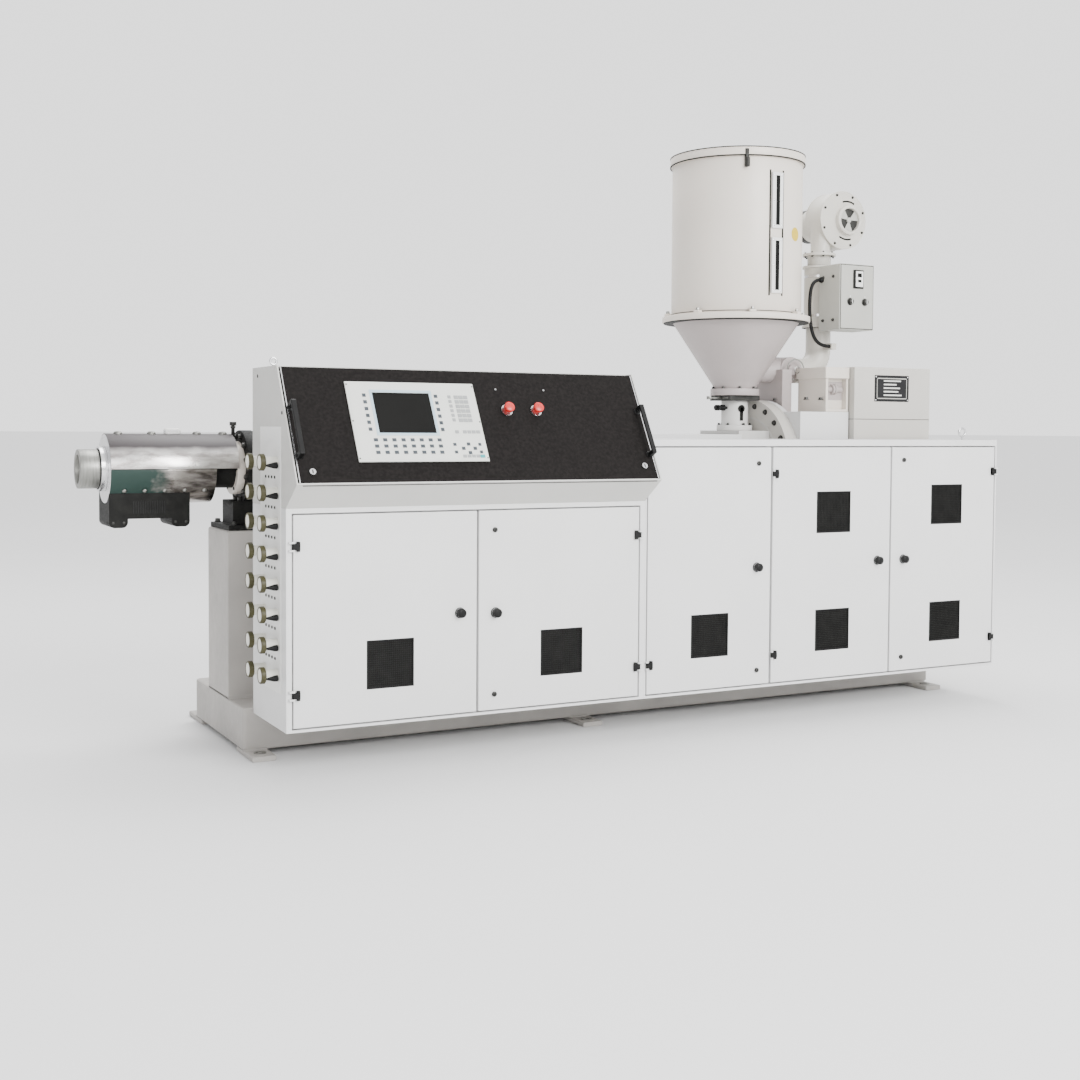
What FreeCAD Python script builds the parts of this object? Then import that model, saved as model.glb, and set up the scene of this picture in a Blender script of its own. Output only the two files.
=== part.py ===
"""Single-screw plastic extruder with hopper dryer, control console and drive cabinets.

Frame: millimetres, +Z up, Z = 0 on the floor. X runs along the screw, from the
nozzle (-X) to the drive (+X). The cabinets and the operator are on the -Y side.
The origin is the centre of the four corner foundation bolts, on the screw's
own vertical plane.
"""
import FreeCAD, Part
import math
import os
import re
import Sketcher

# ---------------------------------------------------------------------------
# Driving dimensions (mm). Every one is a cell of the Sizes sheet.
# ---------------------------------------------------------------------------
SIZES = {
    # base frame and feet
    "base_length": 3227, "base_width": 678, "base_height": 151,
    "base_overhang": 37,
    "foot_thickness": 19, "foot_width": 88, "foot_reach": 113, "foot_under_base": 90,
    "anchor_hole_radius": 11, "anchor_inset": 57, "middle_foot_place": 1376, "foot_end_inset": 25,
    # cabinets along the front
    "cab_left": -1564, "cab_a_length": 1402, "cab_b_length": 1802, "cab_depth": 384,
    "cab_bottom": 152, "cab_a_height": 752, "cab_b_height": 984, "cab_sheet": 6,
    "door_thickness": 22, "door_gap": 5, "frame_side": 20, "frame_bottom": 9, "frame_top": 17,
    "frame_top_b": 26, "frame_left_b": 7, "frame_right_b": 8, "frame_right_a": 22,
    "centre_post": 60, "door_pair_gap": 8, "hinged_pair_gap": 10, "post_depth": 30,
    "door_1_width": 675, "door_3_width": 574, "door_4_width": 606,
    # door furniture
    "hinge_low": 112, "hinge_high": 105, "hinge_radius": 5, "hinge_pin_radius": 2,
    "hinge_pin_fit": 0.4, "hinge_stand": 6, "hinge_leaf_width": 22, "hinge_knuckle": 20,
    "web_reach": 4, "web_thickness": 3, "web_fit": 0.5,
    "hinge_ear": 6, "hinge_end_play": 0.5, "hinge_offset": 1, "hinge_frame_edge": 4,
    "knob_radius": 16, "knob_length": 22, "knob_stem_radius": 9, "knob_stem": 6,
    "knob_inset": 66, "lock_radius": 9, "lock_length": 5, "lock_inset": 62,
    "grille_width": 174, "grille_height": 168, "grille_rebate": 4, "grille_thickness": 8,
    # operator's console on top of cabinet A
    "console_length": 1400, "console_height": 478, "console_lip": 115, "console_lip_rise": 84,
    "console_brow": 102, "console_plate": 5, "console_foot_edge": 20, "console_brow_edge": 40,
    "lid_gap": 5, "lid_thickness": 22,
    "lid_hinge_inset": 14, "lid_pin_radius": 4, "lid_pin_fit": 0.5, "lid_pin_grip": 16,
    "panel_width": 483, "panel_height": 310, "panel_left": 227, "panel_drop": 60,
    "panel_face": 6, "panel_box_depth": 70, "panel_box_edge": 20,
    "screen_width": 212, "screen_height": 159, "screen_left": 92, "screen_drop": 42,
    "screen_depth": 3, "stop_radius": 19, "stop_head": 12, "stop_stem_radius": 11,
    "stop_stem": 18, "stop_ring_radius": 22, "stop_ring": 4,
    "stop_place": 826, "stop_pitch": 118, "stop_drop": 164,
    "handle_length": 205, "handle_stand": 42, "handle_bar": 8, "handle_width": 18,
    "handle_left": 14, "handle_right": 1366, "handle_drop": 152,
    "lid_lock_radius": 11, "lid_lock_length": 6, "lid_lock_left": 60, "lid_lock_right": 1340,
    "lid_lock_drop": 405, "lid_lock_step": 12,
    # heater connectors on the left end
    "plate_thickness": 3, "plate_front": 52, "plate_width": 230, "plate_low": 276,
    "plate_height": 900, "plug_rows": 8, "plug_pitch": 102.6, "plug_low": 338,
    "plug_front": 92, "plug_column": 142, "plug_radius": 19, "plug_length": 58,
    "plug_rim_radius": 27, "plug_rim": 10, "plug_rim_lead": 2,
    # screw barrel and its left end
    "axis_height": 1020, "barrel_radius": 75, "barrel_start": -2039, "bore_radius": 32.5,
    "nozzle_radius": 71, "nozzle_length": 70, "nozzle_bore": 52,
    "shell_left": -2014, "shell_radius": 128, "shell_sheet": 20, "shell_upper_length": 462,
    "shell_lower_length": 378, "shell_end_gap": 2, "shell_end": 6, "shell_end_step": 1,
    "shell_clear": 2,
    "ring_left": -1550, "ring_radius": 100, "ring_length": 30,
    "flange_left": -1520, "flange_radius": 142, "flange_length": 48,
    "pedestal_length": 260, "pedestal_width": 278, "pedestal_height": 621,
    "cap_thickness": 19, "cap_inset": 8, "bracket_left": -1562, "bracket_length": 90,
    "bracket_width": 150,
    "fan_left": -2016, "fan_length": 288, "fan_width": 190, "fan_bottom": 810,
    "fan_lump": 66, "fan_bar_rise": 32, "fan_round": 20,
    "sensor_place": -1541, "sensor_height": 62, "sensor_radius": 7, "sensor_head_radius": 13,
    "sensor_head": 14, "sensor_sink": 3,
    "cover_left": -1440, "cover_width": 380, "cover_sheet": 4, "cover_bottom": 900,
    "cover_top": 1154, "cover_gap": 12,
    # feed section and hopper
    "hopper_place": 764, "feed_length": 166, "feed_half_width": 150, "feed_bottom": 880,
    "feed_top": 1170, "throat_radius": 60, "throat_flange_radius": 80, "throat_flange": 25,
    "throat_top": 1305, "throat_bore": 45, "gate_thickness": 6, "gate_gap": 0.5,
    "gate_width": 120, "gate_plate_radius": 80, "gate_plate": 8,
    "gate_blade_inset": 4, "gate_overlap": 20, "gate_grip_stand": 4,
    "gate_handle": 59, "gate_handle_width": 24, "gate_hole_radius": 45,
    "neck_flange_radius": 109, "neck_flange": 30, "neck_radius": 90, "neck_floor": 8,
    "cone_step": 8, "cone_top": 1654, "drum_radius": 290,
    "hopper_sheet": 4, "clamp_reach": 40, "clamp_height": 26, "drum_top": 2350,
    "lid_overhang": 10, "lid_rise": 38, "lid_dome": 14, "lid_dome_edge": 60,
    "sight_width": 56, "sight_height": 240, "sight_depth": 10, "sight_low": 1765,
    "sight_pitch": 279,
    # hot-air dryer beside the hopper
    "inlet_place": 1033, "inlet_height": 1448, "inlet_radius": 60, "inlet_half": 62,
    "inlet_sheet": 14, "inlet_cap_radius": 24, "inlet_cap": 14, "elbow_radius": 57,
    "elbow_bend": 100, "duct_place": 1235, "duct_radius": 68, "duct_bottom": 1650,
    "duct_top": 1935, "duct_flange_radius": 76, "duct_flange": 10,
    "neck_pipe_radius": 54, "outlet_flange_low": 1982, "outlet_flange": 12, "outlet_radius": 45,
    "scroll_place": 1328, "scroll_height": 2150, "scroll_radius": 132, "scroll_half": 58,
    "scroll_intake_radius": 67, "scroll_intake": 22, "scroll_intake_shift": 20,
    "scroll_mouth": 54, "fan_motor_radius": 78, "fan_motor_length": 150,
    "box_left": 1172, "box_width": 197, "box_height": 296, "box_bottom": 1630, "box_depth": 145,
    "box_front": 225, "box_arm_width": 60, "box_arm_height": 80,
    "cable_radius": 8, "cable_front": 100, "gland_half": 14, "gland_low": 1560,
    "stand_left": 950, "stand_length": 52, "stand_width": 210,
    # drive
    "gear_flange_left": 847, "gear_flange_length": 61, "gear_clear": 49,
    "gear_left": 908, "gear_length": 269, "gear_bottom": 560,
    "gear_top": 1256, "gear_shoulder_step": 2, "gear_shoulder": 26,
    "guard_left": 1050, "guard_step": 2, "guard_back": 90, "guard_top": 1405,
    "guard_lid": 50, "guard_lid_reach": 7, "guard_window_edge": 12, "guard_window_depth": 30,
    "gear_stand_inset": 30,
    "motor_length": 444, "motor_clear": 16, "motor_top": 1458, "motor_gap": 5,
    "motor_split": 1225, "motor_hood_back": 70,
    "plate_b_width": 200, "plate_b_height": 118, "plate_b_low": 1305, "plate_b_left": 115,
    "plate_b_thickness": 2,
    # lifting eyes
    "eye_a_radius": 11, "eye_a_wire": 4, "eye_a_shank": 6, "eye_a_inset": 15, "eye_a_depth": 185,
    "eye_b_radius": 18, "eye_b_wire": 5, "eye_b_shank": 14, "eye_b_inset": 57, "eye_b_depth": 150,
}

doc = FreeCAD.newDocument("plastic_extruder")
sheet = doc.addObject("Spreadsheet::Sheet", "Sizes")
for row_number, (alias, size) in enumerate(SIZES.items(), start=1):
    sheet.set(f"A{row_number}", alias)
    sheet.set(f"B{row_number}", str(size))
    sheet.setAlias(f"B{row_number}", alias)
doc.recompute()

NODES = []


def bind(obj, prop, text):
    """Bind a property to an expression in which every size name is a cell of the sheet."""
    words = re.sub(r"[A-Za-z_]\w*",
                   lambda m: f"Sizes.{m.group(0)}" if m.group(0) in SIZES else m.group(0),
                   str(text))
    obj.setExpression(prop, words)


def place(obj, x, y, z):
    """Tie the placement's base to three expressions."""
    bind(obj, "Placement.Base.x", x)
    bind(obj, "Placement.Base.y", y)
    bind(obj, "Placement.Base.z", z)
    return obj


def node(obj, label):
    """Name a finished sub-part: its label is the name of its file."""
    obj.Label = label
    NODES.append(obj)
    return obj


def box(name, x, y, z, length, width, height):
    """A block from its lowest corner."""
    block = doc.addObject("Part::Box", name)
    bind(block, "Length", length)
    bind(block, "Width", width)
    bind(block, "Height", height)
    return place(block, x, y, z)


AXIS_TURNS = {
    "X": FreeCAD.Rotation(FreeCAD.Vector(0, 1, 0), 90),
    "Y": FreeCAD.Rotation(FreeCAD.Vector(1, 0, 0), -90),
    "Z": FreeCAD.Rotation(),
}


def rod(name, axis, x, y, z, radius, length):
    """A cylinder that starts at a point and runs along one axis."""
    cylinder = doc.addObject("Part::Cylinder", name)
    bind(cylinder, "Radius", radius)
    bind(cylinder, "Height", length)
    cylinder.Placement = FreeCAD.Placement(FreeCAD.Vector(), AXIS_TURNS[axis])
    return place(cylinder, x, y, z)


def cone(name, axis, x, y, z, first_radius, last_radius, length):
    """A cone frustum that starts at a point and runs along one axis."""
    frustum = doc.addObject("Part::Cone", name)
    bind(frustum, "Radius1", first_radius)
    bind(frustum, "Radius2", last_radius)
    bind(frustum, "Height", length)
    frustum.Placement = FreeCAD.Placement(FreeCAD.Vector(), AXIS_TURNS[axis])
    return place(frustum, x, y, z)


def fuse(name, *pieces):
    """One solid from several that touch or overlap."""
    joined = doc.addObject("Part::MultiFuse", name)
    joined.Shapes = list(pieces)
    joined.Refine = True
    return joined


def cut(name, base, *tools):
    """Base less all the tools."""
    tool = tools[0] if len(tools) == 1 else fuse(f"{name}_tools", *tools)
    result = doc.addObject("Part::Cut", name)
    result.Base = base
    result.Tool = tool
    result.Refine = True
    return result


def group(name, *pieces):
    """Separate solids that share a node."""
    bundle = doc.addObject("Part::Compound", name)
    bundle.Links = list(pieces)
    return bundle


def origin_plane(body, role):
    """One of the body's own origin planes."""
    return next(f for f in body.Origin.OriginFeatures if f.Role == role)


def outline_sketch(body, name, role, corners):
    """A closed polygon whose corners are expressions, measured from the plane's origin."""
    sketch = body.newObject("Sketcher::SketchObject", name)
    sketch.AttachmentSupport = [(origin_plane(body, role), "")]
    sketch.MapMode = "FlatFace"
    count = len(corners)
    ring = [FreeCAD.Vector(10 * math.cos(2 * math.pi * k / count),
                           10 * math.sin(2 * math.pi * k / count), 0) for k in range(count)]
    for k in range(count):
        sketch.addGeometry(Part.LineSegment(ring[k], ring[(k + 1) % count]), False)
    for k in range(count):
        sketch.addConstraint(Sketcher.Constraint("Coincident", k, 2, (k + 1) % count, 1))
    for k, (across, up) in enumerate(corners):
        first = sketch.addConstraint(Sketcher.Constraint("DistanceX", -1, 1, k, 1, ring[k].x))
        second = sketch.addConstraint(Sketcher.Constraint("DistanceY", -1, 1, k, 1, ring[k].y))
        bind(sketch, f"Constraints[{first}]", across)
        bind(sketch, f"Constraints[{second}]", up)
    return sketch


def padded(name, role, corners, length):
    """A body whose one feature is a polygon padded along its plane's normal."""
    body = doc.addObject("PartDesign::Body", name)
    sketch = outline_sketch(body, f"{name}_outline", role, corners)
    pad = body.newObject("PartDesign::Pad", f"{name}_pad")
    pad.Profile = sketch
    bind(pad, "Length", length)
    return body


def turned(name, corners):
    """A body of revolution about its own Z axis; corners are (radius, height)."""
    body = doc.addObject("PartDesign::Body", name)
    sketch = outline_sketch(body, f"{name}_section", "XZ_Plane", corners)
    spin = body.newObject("PartDesign::Revolution", f"{name}_spin")
    spin.Profile = sketch
    spin.ReferenceAxis = (sketch, ["V_Axis"])
    spin.Angle = 360
    return body


# ---------------------------------------------------------------------------
# Places worked out from the driving dimensions
# ---------------------------------------------------------------------------
BASE_LEFT = "(cab_left - base_overhang)"
BASE_RIGHT = "(cab_left - base_overhang + base_length)"
BASE_TOP = "(foot_thickness + base_height)"
BASE_FRONT = "(-base_width / 2)"
CAB_FRONT = "(-base_width / 2 - cab_depth)"
SEAM = "(cab_left + cab_a_length)"
CAB_RIGHT = "(cab_left + cab_a_length + cab_b_length)"
CAB_A_TOP = "(cab_bottom + cab_a_height)"
CAB_B_TOP = "(cab_bottom + cab_b_height)"
# the gearbox and the motor keep clear of the cabinets' backs
GEAR_HALF = "(base_width / 2 - gear_clear)"
MOTOR_HALF = "(base_width / 2 - motor_clear)"
GUARD_FRONT = f"({GEAR_HALF} - guard_step)"


def make_base():
    """The welded bed and its six bolted feet."""
    bed = box("bed", BASE_LEFT, BASE_FRONT, "foot_thickness",
              "base_length", "base_width", "base_height")
    node(bed, "base_frame")
    feet = []
    foot_places = [BASE_LEFT,
                   f"{BASE_LEFT} + middle_foot_place - foot_width / 2",
                   f"{BASE_RIGHT} - foot_width - foot_end_inset"]
    for column, left in enumerate(foot_places):
        for side, front in enumerate((f"{BASE_FRONT} - foot_reach",
                                      "base_width / 2 - foot_under_base")):
            mark = f"{column + 1}_{'front' if side == 0 else 'back'}"
            plate = box(f"foot_plate_{mark}", left, front, "0",
                        "foot_width", "foot_reach + foot_under_base", "foot_thickness")
            inset = "anchor_inset" if side == 0 else "foot_reach + foot_under_base - anchor_inset"
            hole = rod(f"foot_hole_{mark}", "Z", f"{left} + foot_width / 2",
                       f"{front} + {inset}", "-1", "anchor_hole_radius", "foot_thickness + 2")
            feet.append(cut(f"foot_{mark}", plate, hole))
    node(group("feet", *feet), "floor_feet")


def make_pedestal():
    """The column under the barrel's front end."""
    column = box("column", BASE_LEFT, "-pedestal_width / 2", BASE_TOP,
                 "pedestal_length", "pedestal_width", "pedestal_height")
    node(column, "barrel_pedestal")
    cap = box("cap", f"{BASE_LEFT} + cap_inset", "-pedestal_width / 2 + cap_inset",
              f"{BASE_TOP} + pedestal_height", "pedestal_length - 2 * cap_inset",
              "pedestal_width - 2 * cap_inset", "cap_thickness")
    foot = f"{BASE_TOP} + pedestal_height + cap_thickness"
    block = box("bracket_block", "bracket_left", "-bracket_width / 2", foot,
                "bracket_length", "bracket_width", f"axis_height - ({foot})")
    hole = rod("bracket_hole", "X", "bracket_left - 1", "0", "axis_height",
               "flange_radius", "bracket_length + 2")
    node(fuse("bracket", cap, cut("bracket_saddle", block, hole)), "barrel_support_bracket")


# Doors: label, left edge, width, foot of the door, height, hinge side, knob height,
# small-lock heights, grille left edges and feet.
DOOR_FOOT = "(cab_bottom + frame_bottom + door_gap)"
DOOR_A_HEIGHT = "(cab_a_height - frame_bottom - frame_top - 2 * door_gap)"
DOOR_B_HEIGHT = "(cab_b_height - frame_bottom - frame_top_b - 2 * door_gap)"
DOOR_1_LEFT = "(cab_left + frame_side + door_gap)"
DOOR_2_LEFT = f"({DOOR_1_LEFT} + door_1_width + door_pair_gap)"
DOOR_2_WIDTH = f"({SEAM} - frame_right_a - door_gap - {DOOR_2_LEFT})"
DOOR_3_LEFT = f"({SEAM} + frame_left_b + door_gap)"
DOOR_4_LEFT = f"({DOOR_3_LEFT} + door_3_width + hinged_pair_gap)"
DOOR_5_LEFT = f"({DOOR_4_LEFT} + door_4_width + door_pair_gap)"
DOOR_5_WIDTH = f"({CAB_RIGHT} - frame_right_b - door_gap - {DOOR_5_LEFT})"
DOORS = [
    (1, DOOR_1_LEFT, "door_1_width", DOOR_A_HEIGHT, "left", 357, [], [(260, 112)]),
    (2, DOOR_2_LEFT, DOOR_2_WIDTH, DOOR_A_HEIGHT, "right", 350, [57, 647], [(250, 108)]),
    (3, DOOR_3_LEFT, "door_3_width", DOOR_B_HEIGHT, "left", 466, [57, 876], [(200, 124)]),
    (4, DOOR_4_LEFT, "door_4_width", DOOR_B_HEIGHT, "left", 470, [], [(220, 112), (220, 592)]),
    (5, DOOR_5_LEFT, DOOR_5_WIDTH, DOOR_B_HEIGHT, "right", 470, [57, 886],
     [(218, 112), (218, 612)]),
]


def hinge_places(left, width, side):
    """Where the pin stands, and which way (+1 or -1) the door lies from it."""
    if side == "left":
        return f"{left} - hinge_offset", 1
    return f"{left} + {width} + hinge_offset", -1


def span(start, way, length):
    """The low end of a stretch that runs from start in the way's direction."""
    return start if way > 0 else f"{start} - {length}"


def hinge_leaf(name, pin, way, foot, height, reach, bored):
    """A leaf with its knuckle round the pin; the moving one is bored for the pin."""
    across = f"{CAB_FRONT} - hinge_stand"
    leaf = box(f"{name}_leaf", span(pin, way, reach), f"{across} - hinge_radius", foot,
               reach, "hinge_stand + hinge_radius", height)
    knuckle = rod(f"{name}_knuckle", "Z", pin, across, foot, "hinge_radius", height)
    whole = fuse(f"{name}_blank", leaf, knuckle)
    if not bored:
        return whole
    bore = rod(f"{name}_bore", "Z", pin, across, f"{foot} - 1",
               "hinge_pin_radius + hinge_pin_fit", f"{height} + 2")
    return cut(name, whole, bore)


def make_cabinets():
    """Two sheet-metal cabinets, open at the front, with the doors' posts and hinge pins."""
    front = CAB_FRONT
    wall = "cab_sheet"
    rebate = "door_thickness + door_gap"
    for letter, name, left, length, height, side_left, side_right, top, middles in (
            ("a", "control_cabinet", "cab_left", "cab_a_length", "cab_a_height",
             "frame_side", "frame_right_a", "frame_top",
             [("1_2", f"{DOOR_2_LEFT} - door_pair_gap / 2")]),
            ("b", "drive_cabinet", SEAM, "cab_b_length", "cab_b_height",
             "frame_left_b", "frame_right_b", "frame_top_b",
             [("3_4", f"{DOOR_4_LEFT} - hinged_pair_gap / 2"),
              ("4_5", f"{DOOR_5_LEFT} - door_pair_gap / 2")])):
        outer = box(f"cabinet_{letter}_outer", left, front, "cab_bottom",
                    length, "cab_depth", height)
        inner = box(f"cabinet_{letter}_inner", f"{left} + {wall}", f"{front} + {rebate} + {wall}",
                    f"cab_bottom + {wall}", f"{length} - 2 * {wall}",
                    f"cab_depth - ({rebate}) - 2 * {wall}", f"{height} - 2 * {wall}")
        mouth = box(f"cabinet_{letter}_mouth", f"{left} + {side_left}", f"{front} - 1",
                    "cab_bottom + frame_bottom",
                    f"{length} - {side_left} - {side_right}", f"{rebate} + 1",
                    f"{height} - frame_bottom - {top}")
        lip = "frame_side"
        window = box(f"cabinet_{letter}_window", f"{left} + {side_left} + {lip}",
                     f"{front} + 1", f"cab_bottom + frame_bottom + {lip}",
                     f"{length} - {side_left} - {side_right} - 2 * {lip}", f"{rebate} + 2 * {wall}",
                     f"{height} - frame_bottom - {top} - 2 * {lip}")
        shell = cut(f"cabinet_{letter}_shell", outer, inner, mouth, window)
        posts = [box(f"post_{mark}", f"{middle} - centre_post / 2",
                     f"{front} + {rebate}", "cab_bottom", "centre_post", "post_depth", height)
                 for mark, middle in middles]
        node(fuse(f"cabinet_{letter}", shell, *posts), name)


def make_doors():
    """Five doors with their grilles, knobs, locks and hinges."""
    front = CAB_FRONT
    fixed_leaves = []
    for number, left, width, height, side, knob_up, locks, grilles in DOORS:
        slab = box(f"door_{number}_slab", left, front, DOOR_FOOT,
                   width, "door_thickness", height)
        holes = []
        screens = []
        for count, (across, up) in enumerate(grilles):
            low = f"{DOOR_FOOT} + {up}"
            edge = f"{left} + {across}"
            holes.append(box(f"door_{number}_hole_{count + 1}", edge, f"{front} - 1", low,
                             "grille_width", "door_thickness + 2", "grille_height"))
            screens.append(box(f"door_{number}_screen_{count + 1}", edge,
                               f"{front} + grille_rebate", low,
                               "grille_width", "grille_thickness", "grille_height"))
        node(cut(f"door_{number}_panel", slab, *holes), f"door_{number}")
        pin, way = hinge_places(left, width, side)
        free = f"({left} + {width})" if way > 0 else f"({left})"
        inward = -way
        knob_x = f"{free} + {inward} * knob_inset"
        stem = rod(f"door_{number}_stem", "Y", knob_x, f"{front} - knob_stem",
                   f"{DOOR_FOOT} + {knob_up}", "knob_stem_radius", "knob_stem")
        head = rod(f"door_{number}_head", "Y", knob_x, f"{front} - knob_length",
                   f"{DOOR_FOOT} + {knob_up}", "knob_radius", "knob_length - knob_stem")
        fittings = [*screens, fuse(f"door_{number}_knob", stem, head)]
        for count, up in enumerate(locks):
            fittings.append(rod(f"door_{number}_lock_{count + 1}", "Y",
                                f"{free} + {inward} * lock_inset", f"{front} - lock_length",
                                f"{DOOR_FOOT} + {up}", "lock_radius", "lock_length"))
        for count, foot in enumerate(
                (f"{DOOR_FOOT} + hinge_low - hinge_knuckle / 2",
                 f"{DOOR_FOOT} + {height} - hinge_high - hinge_knuckle / 2")):
            mark = f"door_{number}_hinge_{count + 1}"
            fittings.append(hinge_leaf(mark, pin, way, foot, "hinge_knuckle",
                                       "hinge_leaf_width", True))
            if number == 4:
                reach = "web_reach"
            elif number == 3:
                reach = "(frame_left_b + hinge_offset)"
            elif number == 5:
                reach = "(frame_right_b + hinge_offset)"
            else:
                reach = "(frame_side - hinge_frame_edge)"
            ears = []
            for end, ear_foot in (("low", f"{foot} - hinge_end_play - hinge_ear"),
                                  ("high", f"{foot} + hinge_knuckle + hinge_end_play")):
                ears.append(hinge_leaf(f"{mark}_{end}", pin, -way, ear_foot, "hinge_ear",
                                       reach, False))
            ears.append(rod(f"{mark}_pin", "Z", pin, f"{front} - hinge_stand",
                            f"{foot} - hinge_end_play - hinge_ear / 2", "hinge_pin_radius",
                            "hinge_knuckle + 2 * hinge_end_play + hinge_ear"))
            if number == 4:
                # this hinge has no frame beside it: a web reaches it through the gap
                ears.append(box(f"{mark}_web", f"{pin} - web_reach", f"{front} - web_fit",
                                f"{foot} - hinge_end_play - hinge_ear", "web_thickness",
                                "web_fit + door_thickness + door_gap",
                                "hinge_knuckle + 2 * hinge_end_play + 2 * hinge_ear"))
            fixed_leaves.append(fuse(f"{mark}_fixed", *ears))
        node(group(f"door_{number}_fitting_set", *fittings), f"door_{number}_fittings")
    node(group("fixed_hinges", *fixed_leaves), "cabinet_hinge_pins")


# The console's face leans back: its run and rise give the slope that the lid follows.
FACE_RUN = "(console_lip + console_brow)"
FACE_RISE = "(console_height - console_lip_rise)"
FACE_LENGTH = f"sqrt({FACE_RUN} * {FACE_RUN} + {FACE_RISE} * {FACE_RISE})"
LID_LENGTH = f"({FACE_LENGTH} - 2 * lid_gap)"
FACE_LEAN = f"(atan({FACE_RUN} / {FACE_RISE}))"


def on_face(obj, across, down, out):
    """Place an object on the console's face: across from the console's left end, down the
    slope from the brow, and out of the face. Its own +X runs along the machine, its own
    +Y straight into the face and its own +Z up the slope."""
    sine = f"({FACE_RUN} / ({FACE_LENGTH}))"
    cosine = f"({FACE_RISE} / ({FACE_LENGTH}))"
    brow_y = f"({CAB_FRONT} + console_brow)"
    brow_z = f"({CAB_A_TOP} + console_height)"
    obj.setExpression("Placement.Rotation.Axis.x", "1")
    obj.setExpression("Placement.Rotation.Axis.y", "0")
    obj.setExpression("Placement.Rotation.Axis.z", "0")
    bind(obj, "Placement.Rotation.Angle", f"-{FACE_LEAN}")
    place(obj, f"cab_left + {across}",
          f"{brow_y} - ({down}) * {sine} - ({out}) * {cosine}",
          f"{brow_z} - ({down}) * {cosine} + ({out}) * {sine}")
    return obj


def face_box(name, across, down, out, length, height, depth):
    """A block on the console's face: its top edge is down the slope, its front stands out."""
    block = doc.addObject("Part::Box", name)
    bind(block, "Length", length)
    bind(block, "Width", depth)
    bind(block, "Height", height)
    return on_face(block, across, f"({down}) + ({height})", out)


def face_rod(name, across, down, out, radius, length):
    """A round piece that stands square on the console's face."""
    lying = doc.addObject("Part::Cylinder", f"{name}_rod")
    bind(lying, "Radius", radius)
    bind(lying, "Height", length)
    lying.Placement = FreeCAD.Placement(FreeCAD.Vector(), AXIS_TURNS["Y"])
    holder = doc.addObject("Part::Compound", name)
    holder.Links = [lying]
    return on_face(holder, across, down, out)


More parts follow.
